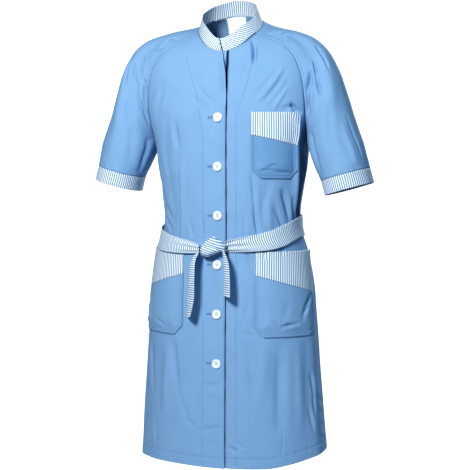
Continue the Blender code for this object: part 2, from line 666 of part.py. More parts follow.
def add_belt(finish):
    """The belt's stretch round the waist, from the knot's right side round the back to its left."""
    along = np.linspace(0, 1, 45)
    stand = smooth(BELT, "stand", along)
    height = smooth(BELT, "height", along)
    rows = []
    for edge in (0.5, 0.0, -0.5):
        row = []
        for share, middle in zip(along, height):
            side = -1 if share < 0.5 else 1
            start = BELT_STARTS[0] if share < 0.5 else BELT_STARTS[1]
            from_knot = min(share, 1 - share) / BELT_FULL_FROM
            gather = BELT_GATHER + (1 - BELT_GATHER) * min(from_knot, 1.0) ** 0.7
            z = middle + edge * BELT_WIDTH * gather
            row.append(waist_point(side, start + (1 - start) * 2 * min(share, 1 - share), z))
        rows.append(row)
    grid = np.array(rows)
    out = -normals_of(grid) * (1, 1, 0.3)
    grid = grid + out * (stand + CLOTH)[None, :, None]
    return add_grid_wall("belt", grid, finish, -1)


def along_line(stops, count):
    """Points of a smooth line through hand-chosen stops in mm, evenly spread by their numbers."""
    stops = np.array(stops, float) * MM
    named = {"level": np.arange(len(stops), dtype=float)}
    for place in range(stops.shape[1]):
        named[place] = stops[:, place]
    at = np.linspace(0, len(stops) - 1, count)
    return np.stack([smooth(named, place, at) for place in range(stops.shape[1])], -1)


def add_tail(name, stops, finish, count=13):
    """A hanging end of the belt: a flat strip on edge, with a row of (x, y, z, width, swing) stops.

    The width runs forwards from the cloth, swung sideways by the given run at its front edge.
    """
    line = along_line(stops, count)
    middle, width, swing = line[:, :3], line[:, 3], line[:, 4]
    way = np.stack([swing, -np.sqrt(width**2 - swing**2), np.zeros(count)], -1)
    grid = np.stack([middle - way / 2, middle, middle + way / 2])
    return add_grid_wall(name, grid, finish, -1)


def add_knot(finish):
    """The knot: a rounded roll along a bent line, with rows of (x, y, z, radius up, radius deep)."""
    line = along_line(KNOT, 13)
    middle = line[:, :3]
    run = np.gradient(middle, axis=0)
    run /= np.linalg.norm(run, axis=1, keepdims=True)
    deep = np.array([0.0, -1.0, 0.0])
    up = np.cross(run, deep)
    angles = np.arange(12) * 2 * np.pi / 12
    ring = (
        up[:, None] * np.cos(angles)[None, :, None] * line[:, 3, None, None]
        + deep * np.sin(angles)[None, :, None] * line[:, 4, None, None]
    )
    made = bmesh.new()
    rings = [[made.verts.new(point) for point in row] for row in middle[:, None] + ring]
    for near, far in zip(rings, rings[1:]):
        for k in range(12):
            after = (k + 1) % 12
            made.faces.new((near[k], near[after], far[after], far[k]))
    made.faces.new(rings[0][::-1])
    made.faces.new(rings[-1])
    bmesh.ops.recalc_face_normals(made, faces=made.faces)
    return add_object("belt_knot", mesh_from("belt_knot", made), finish)


def add_label(finish):
    """The blank label inside the back, hung from the collar seam."""
    at = np.linspace(*LABEL_LEVELS, 5)
    u = np.linspace(0, 1, 40)
    grid = back_rows(at, np.concatenate([-u[:0:-1], u]))
    inward = normals_of(grid)
    inside = grid + inward * (2 * CLOTH + LAY_GAP)
    across = np.linspace(-LABEL_WIDTH / 2, LABEL_WIDTH / 2, 7) + LABEL_SHIFT
    rows = [
        np.stack([np.interp(across, row[:, 0], row[:, k]) for k in range(3)], -1) for row in inside
    ]
    return add_grid_wall("neck_label", np.array(rows), finish, 1)


def tidy_scene():
    for existing in list(bpy.data.objects):
        bpy.data.objects.remove(existing, do_unlink=True)


def main():
    tidy_scene()
    blue = material("blue_poplin", BLUE, 0.75)
    striped = material("striped_poplin", STRIPED, 0.75)
    button_white = material("white_button", WHITE, 0.3)
    label_white = material("white_label", WHITE, 0.6)
    add_front(-1, "front_right", blue)
    add_front(1, "front_left", blue)
    add_back(blue)
    add_sleeve(-1, "sleeve_right", blue)
    add_sleeve(1, "sleeve_left", blue)
    add_cuff(-1, "cuff_right", striped)
    add_cuff(1, "cuff_left", striped)
    add_collar(striped)
    left = Panel(1)
    right = Panel(-1)
    add_pocket(left, CHEST_POCKET, "chest_pocket", 14, 8, blue, striped)
    add_pocket(left, HIP_POCKET, "hip_pocket_left", 15, 9, blue, striped)
    add_pocket(right, HIP_POCKET, "hip_pocket_right", 15, 9, blue, striped)
    for number in range(BUTTON_COUNT):
        add_button(right, number + 1, FIRST_BUTTON_Z - number * BUTTON_SPACING, button_white)
    add_belt(striped)
    add_knot(striped)
    add_tail("belt_tail_right", TAIL_RIGHT, striped)
    add_tail("belt_tail_left", TAIL_LEFT, striped, 11)
    add_label(label_white)


main()
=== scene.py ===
import math

import bmesh
import bpy
import numpy as np
from mathutils import Matrix


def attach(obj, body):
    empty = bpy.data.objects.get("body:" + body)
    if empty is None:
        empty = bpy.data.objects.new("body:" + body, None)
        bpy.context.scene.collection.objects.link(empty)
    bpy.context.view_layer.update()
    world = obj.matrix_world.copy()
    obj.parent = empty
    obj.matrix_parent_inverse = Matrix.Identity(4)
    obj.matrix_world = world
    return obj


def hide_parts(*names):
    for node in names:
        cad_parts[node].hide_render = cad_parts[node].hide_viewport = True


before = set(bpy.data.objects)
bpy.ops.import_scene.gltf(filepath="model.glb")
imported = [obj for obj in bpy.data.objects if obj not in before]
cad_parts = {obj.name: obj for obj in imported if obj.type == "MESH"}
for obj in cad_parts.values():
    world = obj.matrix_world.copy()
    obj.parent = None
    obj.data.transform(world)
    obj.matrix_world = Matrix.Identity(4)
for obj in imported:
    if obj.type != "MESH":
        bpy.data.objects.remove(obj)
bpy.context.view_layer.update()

# A work coat in blue poplin, worn and hollow. Metres; -Y is its front and +X the wearer's left.
# Side is +1 on the wearer's left and -1 on the wearer's right. Tables are in mm and degrees.

mm = 0.001
cloth = dict(
    thickness=0.7 * mm,  # wall of every cloth piece, poplin with its turned edges
    seamGap=0.3 * mm,
    lapGap=0.8 * mm,  # between the two fronts
    wall=1.2 * mm,  # wall of the plain solids that these pieces stand for
)
underarm = 7  # level of the underarm, levels being rows of cloth from the neck down
hem = 17
seamColumns = ("x", "y", "z", "turn", "rise", "underX", "underY", "underZ")


def table(columns, *rows):
    # columns of a table by name: lengths from mm to metres, names ending in Deg to radians
    values = np.array(rows, float)
    named = {}
    for place, name in enumerate(columns.split()):
        if name == "level":
            named[name] = values[:, place]
        elif name.endswith("Deg"):
            named[name[:-3]] = np.radians(values[:, place])
        else:
            named[name] = values[:, place] * mm
    return named


# A row of a front runs from the centre line to the raglan seam, or to the side seam from level 7.
# The arms say how far the row keeps its direction at each end; turn and rise aim it at the seam.
frontTable = table(
    "level centreY centreZ x y z centreArm edgeArm turnDeg riseDeg lap",
    (0, -93, -60, 61, -55, -20, 34, 26, 64, 25, 2),
    (1, -101, -86, 104, -69, -38, 42, 34, 62, 38, 8),
    (2, -107, -108, 131, -76, -55, 55, 34, 58, 38, 13),
    (3, -112, -132, 150, -80, -81, 68, 33, 52, 30, 16),
    (4, -116, -158, 162, -80, -120, 80, 32, 46, 18, 17),
    (5, -119, -190, 166, -73, -168, 92, 36, 55, 8, 17),
    (6, -120.5, -219, 164, -52, -213, 100, 46, 75, 3, 17),
    (7, -121, -245, 161, -20, -245, 106, 66, 90, 0, 17),
    (8, -121, -285, 158, -17, -285, 106, 70, 90, 0, 17),
    (9, -120.5, -335, 149.5, -15, -335, 98, 72, 90, 0, 17),
    (10, -120, -385, 143, -14, -385, 90, 72, 90, 0, 17),
    (11, -120, -425, 146, -12, -425, 90, 70, 90, 0, 17),
    (12, -121.5, -466, 158, -10, -466, 94, 72, 90, 0, 17),
    (13, -124, -530, 170, -8, -530, 98, 78, 90, 0, 17),
    (14, -127, -615, 177, -6, -615, 100, 80, 90, 0, 17),
    (15, -128.5, -700, 182, -4, -700, 103, 80, 90, 0, 17),
    (16, -129.5, -801, 189, -2, -800, 107, 81, 90, 0, 17),
    (17, -130, -892, 195, 0, -889, 110, 82, 90, 0, 17),
)
# A row of the back runs from the centre of the back to the same seams.
backTable = table(
    "level centreY centreZ x y z centreArm edgeArm turnDeg riseDeg",
    (0, 43, 30, 47, 23, 20, 20, 18, -44, -14),
    (1, 57, 3, 92, 45, -11, 38, 26, -54, 10),
    (2, 70, -25, 126, 57, -33, 52, 28, -54, 16),
    (3, 82, -58, 149, 63, -65, 66, 28, -50, 16),
    (4, 92, -95, 162, 64, -108, 78, 30, -46, 10),
    (5, 98, -142, 166, 58, -160, 88, 34, -55, 5),
    (6, 98.5, -194, 164, 34, -208, 96, 45, -75, 2),
    (7, 96, -245, 161, -20, -245, 108, 84, -90, 0),
    (8, 92, -285, 158, -17, -285, 106, 82, -90, 0),
    (9, 86, -335, 149.5, -15, -335, 98, 74, -90, 0),
    (10, 82, -385, 143, -14, -385, 90, 64, -90, 0),
    (11, 85, -425, 146, -12, -425, 90, 62, -90, 0),
    (12, 96, -466, 158, -10, -466, 98, 68, -90, 0),
    (13, 112, -530, 170, -8, -530, 102, 74, -90, 0),
    (14, 122, -615, 177, -6, -615, 102, 72, -90, 0),
    (15, 126, -700, 182, -4, -700, 105, 74, -90, 0),
    (16, 129, -800, 189, -2, -800, 109, 76, -90, 0),
    (17, 131, -888, 195, 0, -889, 112, 78, -90, 0),
)
# A row of a sleeve runs from the front seam over its top to the back seam. From level 7 on it is
# a ring that starts and ends under the arm. Lean and raise part the two sleeves' hang a little.
sleeveTable = table(
    "level topX topY topZ underX underY underZ frontArm backArm topArm"
    " frontTurnDeg frontRiseDeg backTurnDeg backRiseDeg topRiseDeg lean raise",
    (0, 68, -25, -3, 0, 0, 0, 12, 16, 11, 64, 25, 44, -14, 30, 0, 0),
    (1, 110, -23, -7.5, 0, 0, 0, 19, 24, 20, 64, 41, 55, 15, 10, 1, 1.5),
    (2, 149, -24, -17, 0, 0, 0, 23, 30, 26, 52, 46, 45, 25, 3, 3, 1),
    (3, 182.5, -27, -31, 0, 0, 0, 27, 33, 32, 35, 45, 25, 28, 0, 3.5, 2),
    (4, 210, -30, -57, 0, 0, 0, 35, 40, 40, 8, 35, 0, 26, 0, 3, 3),
    (5, 233, -32, -102, 0, 0, 0, 48, 50, 52, -25, 22, -25, 16, 0, 2, 3),
    (6, 250.5, -33, -158, 0, 0, 0, 66, 66, 68, -60, 8, -60, 6, 0, 0.5, 3),
    (7, 268.5, -34, -214, 161, -20, -245, 82, 84, 82, -90, 0, -90, 0, 0, 0.5, 2),
    (8, 278, -33, -240, 171, -24, -271, 82, 84, 82, -90, 0, -90, 0, 0, 0, 3),
    (9, 283.5, -32, -265, 181, -27, -295, 81, 83, 81, -90, 0, -90, 0, 0, -1, 4),
    (10, 289, -31, -292, 192.5, -30, -319, 80, 82, 80, -90, 0, -90, 0, 0, -2, 4),
    (11, 296.5, -31, -321, 200, -30, -348, 80, 82, 80, -90, 0, -90, 0, 0, -2, 4),
)
cuffTop = 10
cuffBottom = 11
cuffSeam = 0.012  # in levels, the gap between a sleeve and its cuff

# The largest folds run from level top to level bottom. topU and bottomU are their places at the two
# ends, as shares of the row from the centre to the seam; height is in mm and side 0 is the back.
largeFolds = (
    dict(side=1, top=5.0, topU=0.86, bottom=10.6, bottomU=0.78, height=7.0, half=0.09),
    dict(side=1, top=8.6, topU=0.42, bottom=11.2, bottomU=0.36, height=-3.0, half=0.05),
    dict(side=1, top=12.4, topU=0.86, bottom=17.5, bottomU=0.80, height=4.0, half=0.09),
    dict(side=-1, top=5.0, topU=0.52, bottom=10.8, bottomU=0.46, height=-3.0, half=0.06),
    dict(side=-1, top=6.4, topU=0.80, bottom=10.6, bottomU=0.72, height=-3.5, half=0.07),
    dict(side=-1, top=13.0, topU=0.84, bottom=17.5, bottomU=0.78, height=3.5, half=0.09),
    dict(side=0, top=4.0, topU=-0.66, bottom=10.4, bottomU=-0.34, height=4.5, half=0.08),
    dict(side=0, top=4.4, topU=0.62, bottom=10.6, bottomU=0.30, height=4.5, half=0.08),
    dict(side=0, top=8.0, topU=0.02, bottom=11.0, bottomU=-0.04, height=-4.0, half=0.07),
    dict(side=0, top=11.4, topU=-0.56, bottom=17.5, bottomU=-0.66, height=5.5, half=0.10),
    dict(side=0, top=11.4, topU=-0.16, bottom=17.5, bottomU=-0.22, height=5.0, half=0.10),
    dict(side=0, top=11.4, topU=0.24, bottom=17.5, bottomU=0.26, height=5.5, half=0.10),
    dict(side=0, top=11.4, topU=0.64, bottom=17.5, bottomU=0.70, height=5.0, half=0.10),
)
# On a sleeve a place runs from the front seam at 0 over the top line at 1 to the back seam at 2.
sleeveFolds = (
    dict(side=1, top=1.2, topU=0.50, bottom=5.6, bottomU=0.34, height=-4.0, half=0.16),
    dict(side=1, top=4.0, topU=0.80, bottom=9.4, bottomU=0.62, height=-3.0, half=0.14),
    dict(side=1, top=5.0, topU=1.30, bottom=9.6, bottomU=1.24, height=-4.0, half=0.16),
    dict(side=-1, top=1.6, topU=0.46, bottom=6.4, bottomU=0.36, height=-4.0, half=0.16),
    dict(side=-1, top=4.6, topU=0.84, bottom=9.4, bottomU=0.76, height=-3.0, half=0.14),
    dict(side=-1, top=5.0, topU=1.34, bottom=9.6, bottomU=1.24, height=-4.0, half=0.16),
)


def smooth(columns, name, at):
    # cubic through the rows, slopes from the rows beside them; a seam column may turn a corner at
    # the underarm: y0 (1 + 2t)(1 - t)^2 + s0 t (1 - t)^2 + y1 t^2 (3 - 2t) + s1 t^2 (t - 1)
    x, y = columns["level"], columns[name]
    leaving = arriving = np.gradient(y, x)
    if name in seamColumns:
        above = np.gradient(y[: underarm + 1], x[: underarm + 1])
        below = np.gradient(y[underarm:], x[underarm:])
        leaving = np.concatenate([above[:-1], below])
        arriving = np.concatenate([above, below[1:]])
    row = np.clip(np.searchsorted(x, at, side="right") - 1, 0, len(x) - 2)
    step = x[row + 1] - x[row]
    t = (at - x[row]) / step
    start = y[row] * (1 + 2 * t) * (1 - t) ** 2 + leaving[row] * step * t * (1 - t) ** 2
    end = y[row + 1] * t * t * (3 - 2 * t) + arriving[row + 1] * step * t * t * (t - 1)
    return start + end


def pointsOf(columns, names, at):
    # the columns named, read at each level and set side by side as one point or vector a level
    return np.stack([smooth(columns, name, at) for name in names.split()], -1)


def heading(turn, rise):
    # unit vector (cos turn cos rise, sin turn cos rise, sin rise): turn 0 points sideways, 90
    # degrees to the back, and rise is above the horizon
    flat = np.cos(rise)
    return np.stack([np.cos(turn) * flat, np.sin(turn) * flat, np.sin(rise)], -1)


def unit(vectors):
    # each vector divided by its length
    return vectors / np.maximum(np.linalg.norm(vectors, axis=-1, keepdims=True), 1e-12)


def bell(distance, half):
    # 1 on a line, fading on both sides of it: exp(-(distance/half)^2)
    return np.exp(-((distance / half) ** 2))


def lengthAlong(points):
    # distance from the first point, added up from point to point
    return np.concatenate([[0], np.cumsum(np.linalg.norm(np.diff(points, axis=0), axis=1))])


def bezier(start, first, second, end, u):
    # cubic curves, one a row: (1-u)^3 start + 3(1-u)^2 u first + 3(1-u) u^2 second + u^3 end
    u = np.broadcast_to(u, (len(start), np.shape(u)[-1]))[:, :, None]
    v = 1 - u
    ends = start[:, None] * v**3 + end[:, None] * u**3
    return ends + 3 * first[:, None] * v * v * u + 3 * second[:, None] * v * u * u


def seamHeading(columns, at):
    # the way in which a row meets its seam, from its table's turn and rise
    return heading(smooth(columns, "turn", at), smooth(columns, "rise", at))


def halfRows(columns, at, u):
    # a cubic curve a row: it leaves the centre line (u 0) sideways and meets the seam (u 1) along its
    # heading; on a front, negative u is the same curve mirrored, out to the lap's width
    start = pointsOf(columns, "x centreY centreZ", at) * (0, 1, 1)
    end = pointsOf(columns, "x y z", at)
    aim = seamHeading(columns, at)
    first = start + smooth(columns, "centreArm", at)[:, None] * (1, 0, 0)
    second = end - smooth(columns, "edgeArm", at)[:, None] * aim
    u = np.broadcast_to(u, (len(at), len(u)))
    if "lap" in columns:
        lapU = smooth(columns, "lap", at) / (3 * first[:, 0])
        u = np.where(u < 0, u * lapU[:, None], u)
    grid = bezier(start, first, second, end - cloth["seamGap"] / 2 * aim, np.abs(u))
    grid[:, :, 0] *= np.where(u < 0, -1, 1)
    return grid


def normalsOf(grid):
    # unit cross product of the slope down the rows and the slope along them
    return unit(np.cross(np.gradient(grid, axis=0), np.gradient(grid, axis=1)))


def foldHeights(folds, side, at, u):
    # sum of rounded ridges, height exp(-(distance/half)^2), each fading at its two ends as
    # sin(pi along)^0.7; one that runs past the hem fades at its upper end alone
    total = np.zeros((len(at), len(u)))
    for fold in folds:
        if fold["side"] != side:
            continue
        along = (at - fold["top"]) / (fold["bottom"] - fold["top"])
        fade = np.sin(np.pi * np.clip(along, 0, 1)) ** 0.7
        if fold["bottom"] > hem:
            fade = np.clip(along * 2.5, 0, 1)
        middle = fold["topU"] + (fold["bottomU"] - fold["topU"]) * along
        apart = u[None, :] - middle[:, None]
        total += fold["height"] * mm * fade[:, None] * bell(apart, fold["half"])
    return total


# The skirt hangs askew: outside start, over the next reach, its left side rises and its right drops.
skirtHang = dict(fromLevel=13, start=100, reach=95, rise=17, drop=5)


def hang(grid, at):
    # z + (share of the way down)^2 (rise left^1.3 - drop right^1.3), left and right the shares out
    below = np.clip((at - skirtHang["fromLevel"]) / (hem - skirtHang["fromLevel"]), 0, 1)[:, None] ** 2
    start, reach = skirtHang["start"] * mm, skirtHang["reach"] * mm
    left = np.clip((grid[:, :, 0] - start) / reach, 0, 1) ** 1.3
    right = np.clip((-grid[:, :, 0] - start) / reach, 0, 1) ** 1.3
    grid[:, :, 2] += below * (skirtHang["rise"] * mm * left - skirtHang["drop"] * mm * right)
    return grid


lapEase = dict(start=25, reach=35)  # where a front leaves the lap's depth for the row's own


def frontRows(side, at, u):
    # the half rows moved along their normals by the folds and, near the centre, by half the gap
    # between the fronts, times near^2 (3 - 2 near): the right front outwards, the left one inwards
    grid = halfRows(frontTable, at, u)
    outward = normalsOf(grid)
    outFromLap = grid[:, :, 0] - lapEase["start"] * mm
    near = 1 - np.clip(outFromLap / (lapEase["reach"] * mm), 0, 1)
    under = (cloth["wall"] + cloth["lapGap"]) / 2 * near * near * (3 - 2 * near)
    lift = foldHeights(largeFolds, side, at, u) - side * under
    return hang((grid + outward * lift[:, :, None]) * (side, 1, 1), at)


def backRows(at, u):
    # the left half rows and their mirror image, moved outwards by the folds; the grid's own normals
    # point inwards here
    right = halfRows(backTable, at, -u[u < 0]) * (-1, 1, 1)
    grid = np.concatenate([right, halfRows(backTable, at, u[u >= 0])], axis=1)
    return hang(grid - normalsOf(grid) * foldHeights(largeFolds, 0, at, u)[:, :, None], at)


def sleeveSeam(body, name, side, at, toward):
    # a sleeve's start or end at each level: the panel's seam point down to the underarm and the
    # ring's own below it, moved by the seam's gap away from the panel; and the way it leaves there
    above = np.minimum(at, underarm)
    seam = pointsOf(body, "x y z", above)
    aim = heading(smooth(sleeveTable, name + "Turn", above), smooth(sleeveTable, name + "Rise", above))
    aim = aim * (1, toward, 1)
    away = unit(aim + seamHeading(body, above) + (0.3, 0, 0))
    ring = pointsOf(sleeveTable, "underX underY underZ", np.maximum(at, underarm))
    ring[:, 2] -= side * smooth(sleeveTable, "raise", at) * np.clip(at - underarm, 0, 1)
    start = np.where((at > underarm)[:, None], ring, seam)
    reach = np.interp(at, [underarm - 1, underarm, underarm + 1], [0.5, 1.6, 0.5])
    return start + away * (cloth["seamGap"] * reach)[:, None], aim


def sleeveRows(side, at, u):
    # two cubic curves a row: front seam to the top line (u 1), and on to the back seam (u 2)
    front, frontAim = sleeveSeam(frontTable, "front", side, at, 1)
    back, backAim = sleeveSeam(backTable, "back", side, at, -1)
    top = pointsOf(sleeveTable, "topX topY topZ", at)
    top[:, 0] -= side * smooth(sleeveTable, "lean", at)
    top[:, 2] -= side * smooth(sleeveTable, "raise", at)
    topAim = heading(np.full(len(at), np.pi / 2), smooth(sleeveTable, "topRise", at))
    topArm = smooth(sleeveTable, "topArm", at)[:, None] * topAim
    frontArm = smooth(sleeveTable, "frontArm", at)[:, None]
    backArm = smooth(sleeveTable, "backArm", at)[:, None]
    ahead = bezier(front, front + frontArm * frontAim, top - topArm, top, u[u < 1])
    behind = bezier(top, top + topArm, back + backArm * backAim, back, u[u >= 1] - 1)
    grid = np.concatenate([ahead, behind], axis=1)
    grid = grid + normalsOf(grid) * foldHeights(sleeveFolds, side, at, u)[:, :, None]
    return grid * (side, 1, 1)


# Creases are placed one by one on the cloth: a is the distance round it and b the height on it, in mm.
# Each row reads a0, b0, a1, b1, height, half, lean, bend: a soft trough (height below 0) or ridge
# from (a0, b0) to (a1, b1), of half width half on one side and half times lean on the other,
# bowed sideways by bend.
frontRightCreases = (
    (-6, -733, 28, -725, -1.5, 4, 2.2, -0.6),
    (2, -752, 22, -760, -1.1, 4, 1.9, 0.8),
    (-8, -811, 29, -819, -1.5, 4, 2.2, 0.6),
    (4, -846, 24, -838, -0.8, 4, 1.6, -0.8),
    (44, -812, 70, -806, -1.4, 4.5, 1.5, 2),
    (150, -742, 172, -738, -0.9, 4, 1.4, 0),
    (36, -740, 52, -790, -0.8, 5, 1.3, 1),
    (95, -196, 87, -262, -2.1, 7, 1.6, 1),
    (87, -245, 89, -470, -0.9, 2.2, 1.0, 2),
    (80, -250, 80, -455, 1.2, 9, 1.2, 2),
    (48, -126, 4, -170, -1.2, 4, 1.8, 2),
    (60, -150, 20, -188, -0.7, 5, 1.5, -3),
    (172, -384, 108, -424, -2.4, 6, 1.6, -4),
    (165, -352, 104, -412, -1.6, 7, 1.4, -5),
    (186, -318, 150, -386, -2.0, 9, 1.3, -4),
    (150, -250, 118, -350, -1.0, 11, 1.2, 6),
    (60, -400, 52, -436, -1.3, 5, 1.5, 2),
    (34, -396, 30, -440, -1.0, 4, 1.4, -1),
    (128, -120, 150, -196, -1.3, 9, 1.2, -4),
    (99, -640, 88, -742, -2.8, 9, 1.8, 1),
    (89, -735, 50, -820, -0.9, 7, 1.4, 2),
    (118, -655, 122, -800, 1.8, 12, 1.2, 0),
    (172, -650, 160, -760, -1.8, 9, 1.2, 3),
    (196, -720, 204, -860, -2.0, 11, 1.2, 0),
    (150, -800, 146, -872, -0.9, 6, 1.2, 0),
    (22, -735, -12, -722, -0.9, 2.6, 1.8, 1),
    (30, -746, 6, -744, -0.6, 3, 1.4, 1),
    (58, -762, 30, -765, -0.9, 2.6, 1.5, -1),
    (27, -817, -14, -813, -1.0, 2.6, 1.8, 1),
    (52, -826, 32, -818, -0.7, 3, 1.4, 0),
    (28, -655, 4, -640, -0.5, 4, 1.3, 1),
    (70, -478, 62, -560, -0.9, 8, 1.3, 2),
)
frontLeftCreases = (
    (22, -655, 34, -690, -1.0, 4, 1.4, 1),
    (30, -700, 40, -738, -1.0, 4, 1.4, 0),
    (20, -850, 44, -858, -1.7, 4.5, 1.5, 1),
    (38, -840, 62, -852, -0.9, 4, 1.3, -1),
    (196, -706, 206, -752, -2.2, 5, 1.6, 2),
    (206, -742, 212, -800, -2.0, 5, 1.5, -2),
    (190, -770, 204, -828, -1.6, 5, 1.4, 1),
    (72, -34, 70, -90, -5.2, 5, 2, 1),
    (62, -40, 60, -90, 1.6, 6, 1.2, 1),
    (137, -94, 76, -168, 2.1, 5, 1.4, 3),
    (146, -132, 112, -182, 1.6, 4, 1.4, -2),
    (126, -90, 66, -160, -1.2, 5, 1.3, 3),
    (150, -118, 100, -178, -1, 6, 1.3, 2),
    (40, -88, 52, -110, -1.2, 4, 1.3, 0),
    (162, -172, 128, -176, -2.3, 5, 1.4, 2),
    (176, -186, 146, -168, -5.7, 5, 1.5, 2),
    (174, -194, 150, -181, -4.2, 4.5, 1.4, 0),
    (166, -205, 170, -392, 2.2, 6, 1.6, 0),
    (182, -190, 190, -404, -8.5, 13, 1.7, 0),
    (160, -210, 166, -396, 1.4, 6, 1.2, 0),
    (208, -260, 212, -390, 2.0, 9, 1.0, 0),
    (128, -338, 152, -404, -5.0, 6, 2.0, 2),
    (112, -372, 138, -428, -3.0, 5, 1.6, 2),
    (158, -352, 172, -414, -2.4, 6, 1.3, -2),
    (100, -350, 108, -430, 1.2, 8, 1.2, 0),
    (67, -300, 74, -382, -2.5, 5, 1.8, 1),
    (73, -370, 82, -434, -3.4, 5, 1.7, -1),
    (52, -380, 56, -440, -1.0, 5, 1.3, 0),
    (30, -200, 40, -330, -0.6, 10, 1.2, 3),
    (56, -460, 70, -496, -1.8, 4.5, 1.5, 1),
    (92, -455, 96, -480, -1.4, 5, 1.2, 0),
    (128, -444, 132, -476, -1.2, 5, 1.2, 0),
    (48, -622, 76, -632, -1.2, 3.5, 1.3, 1),
    (64, -560, 50, -618, -0.8, 7, 1.2, 0),
    (62, -648, 74, -770, -1.4, 9, 1.3, 2),
    (96, -640, 94, -760, 1.4, 12, 1.2, 0),
    (126, -640, 124, -830, -3.0, 13, 1.5, 0),
    (168, -640, 172, -820, 2.0, 14, 1.1, 0),
    (134, -812, 132, -870, -0.9, 1.8, 1.6, 0),
    (220, -762, 256, -772, -1.6, 4, 1.4, 2),
    (224, -786, 258, -800, -1.7, 4, 1.3, 2),
    (228, -812, 258, -822, -1.5, 4, 1.4, 1),
    (230, -836, 258, -848, -1.4, 4, 1.2, 1),
    (216, -745, 228, -858, -1.6, 8, 1.2, 2),
    (26, -853, 43, -862, -1.1, 2.6, 1.4, 0),
    (52, -858, 66, -866, -0.7, 3, 1.3, 0),
    (10, -700, 30, -760, -0.6, 8, 1.3, 2),
)
backCreases = (
    (-150, -190, -70, -330, -1.8, 9, 1.4, 8),
    (150, -182, 74, -318, -2.0, 9, 1.4, -8),
    (-132, -215, -96, -390, -1.4, 8, 1.3, 5),
    (138, -225, 92, -384, -1.6, 8, 1.3, -6),
    (-110, -70, -60, -110, -1.0, 7, 1.3, 3),
    (104, -64, 50, -112, -1.1, 7, 1.3, -3),
    (-40, -350, -46, -428, -2.0, 5, 1.5, 1),
    (-12, -366, -10, -430, -1.6, 4.5, 1.4, 0),
    (22, -356, 26, -430, -2.2, 5, 1.5, 1),
    (58, -370, 52, -428, -1.5, 5, 1.3, 0),
    (-84, -362, -76, -424, -1.8, 5, 1.4, 0),
    (98, -366, 106, -430, -1.6, 5, 1.4, 0),
    (-150, -360, -128, -420, -1.8, 6, 1.3, 2),
    (-30, -446, -34, -540, -2.0, 6, 1.5, 0),
    (8, -444, 12, -510, -1.5, 5, 1.4, 1),
    (44, -446, 40, -560, -2.0, 7, 1.5, 0),
    (-78, -444, -90, -530, -1.8, 6, 1.4, 0),
    (90, -446, 96, -520, -1.6, 6, 1.3, 0),
    (-112, -620, -120, -840, -2.4, 13, 1.3, 3),
    (-48, -640, -60, -860, -2.2, 14, 1.3, -3),
    (20, -600, 14, -850, -2.4, 14, 1.2, 4),
    (84, -620, 96, -850, -2.2, 13, 1.3, -3),
    (160, -600, 170, -830, -2.0, 12, 1.3, 2),
    (-214, -700, -252, -712, -1.2, 4, 1.3, 1),
    (-226, -800, -254, -812, -1.4, 4, 1.3, 1),
    (222, -776, 254, -788, -1.3, 4, 1.3, 1),
    (-60, -868, -84, -862, -0.9, 3, 1.3, 0),
    (70, -866, 92, -870, -0.9, 3, 1.3, 0),
)
# On a sleeve a runs from the top line, below 0 at the front, and b down the top line.
sleeveRightCreases = (
    (-50, 134, -100, 168, -4.4, 3.6, 2, -2),
    (-96, 158, -131, 218, -4.2, 4, 2.2, -1),
    (-112, 205, -150, 262, -3.4, 6, 1.6, -1),
    (-42, 156, -86, 182, -3.4, 3.6, 1.7, -2),
    (-84, 176, -118, 226, -2.1, 4, 1.5, -1),
    (-24, 150, -62, 210, -2, 6, 1.3, -3),
    (-78, 205, -108, 300, -1.4, 12, 1.3, -4),
    (-106, 285, -122, 392, -1.2, 12, 1.2, -2),
    (-60, 240, -76, 380, 0.9, 15, 1.2, 0),
    (-34, 60, -60, 92, -2.4, 5, 1.3, 2),
    (-52, 36, -34, 58, -1.5, 4, 1.3, 0),
    (-66, 92, -40, 110, -1.7, 5, 1.3, 0),
    (-20, 230, -30, 360, -1.2, 10, 1.2, 0),
    (-150, 310, -148, 400, -1.8, 8, 1.2, 0),
    (60, 190, 96, 300, -2.4, 9, 1.4, 5),
    (100, 170, 140, 250, -2.2, 7, 1.4, 4),
    (40, 130, 88, 190, -1.6, 7, 1.3, 3),
    (120, 300, 118, 400, -2.0, 9, 1.2, 0),
    (-90, 396, -76, 408, -0.7, 3, 1.2, 0),
    (30, 392, 44, 406, -0.7, 3, 1.2, 0),
)
sleeveLeftCreases = (
    (-28, 128, -38, 188, -2.9, 4, 1.8, 1),
    (-55, 142, -72, 176, -3.1, 3.5, 1.8, 0),
    (-71, 168, -83, 222, -2.6, 4, 1.6, 1),
    (-74, 156, -112, 190, -4.7, 6, 1.8, -2),
    (-108, 182, -128, 236, -4.2, 7, 1.5, -1),
    (-92, 180, -112, 240, 2.3, 7, 1.3, 0),
    (-36, 296, -29, 396, -1.2, 3.2, 1.8, 2),
    (-52, 310, -48, 400, 1.2, 8, 1.2, 0),
    (-48, 22, -22, 46, -2.7, 4, 1.4, 1),
    (-36, 20, -14, 40, 1.7, 4, 1.2, 1),
    (-54, 38, -30, 62, -2.2, 4, 1.4, 1),
    (-60, 54, -44, 66, -1.7, 3.5, 1.3, 0),
    (-70, 250, -86, 380, -1.4, 11, 1.2, 3),
    (-130, 290, -136, 396, -2.2, 9, 1.2, 0),
    (58, 186, 92, 300, -2.4, 9, 1.4, 5),
    (98, 168, 138, 246, -2.2, 7, 1.4, 4),
    (44, 126, 90, 186, -1.6, 7, 1.3, 3),
    (116, 296, 112, 396, -2.0, 9, 1.2, 0),
    (-60, 392, -44, 404, -0.7, 3, 1.2, 0),
)

creaseShape = dict(
    depth=1.6,  # brings every crease to the depth that its shade in soft light needs
    narrow=0.72,  # and to the width of a pressed crease
    rim=0.35,  # share of the height that the opposite rim beside it has
    rimPlace=2.1,  # the rim's place and half width, in half widths of the crease
    rimHalf=1.3,
)


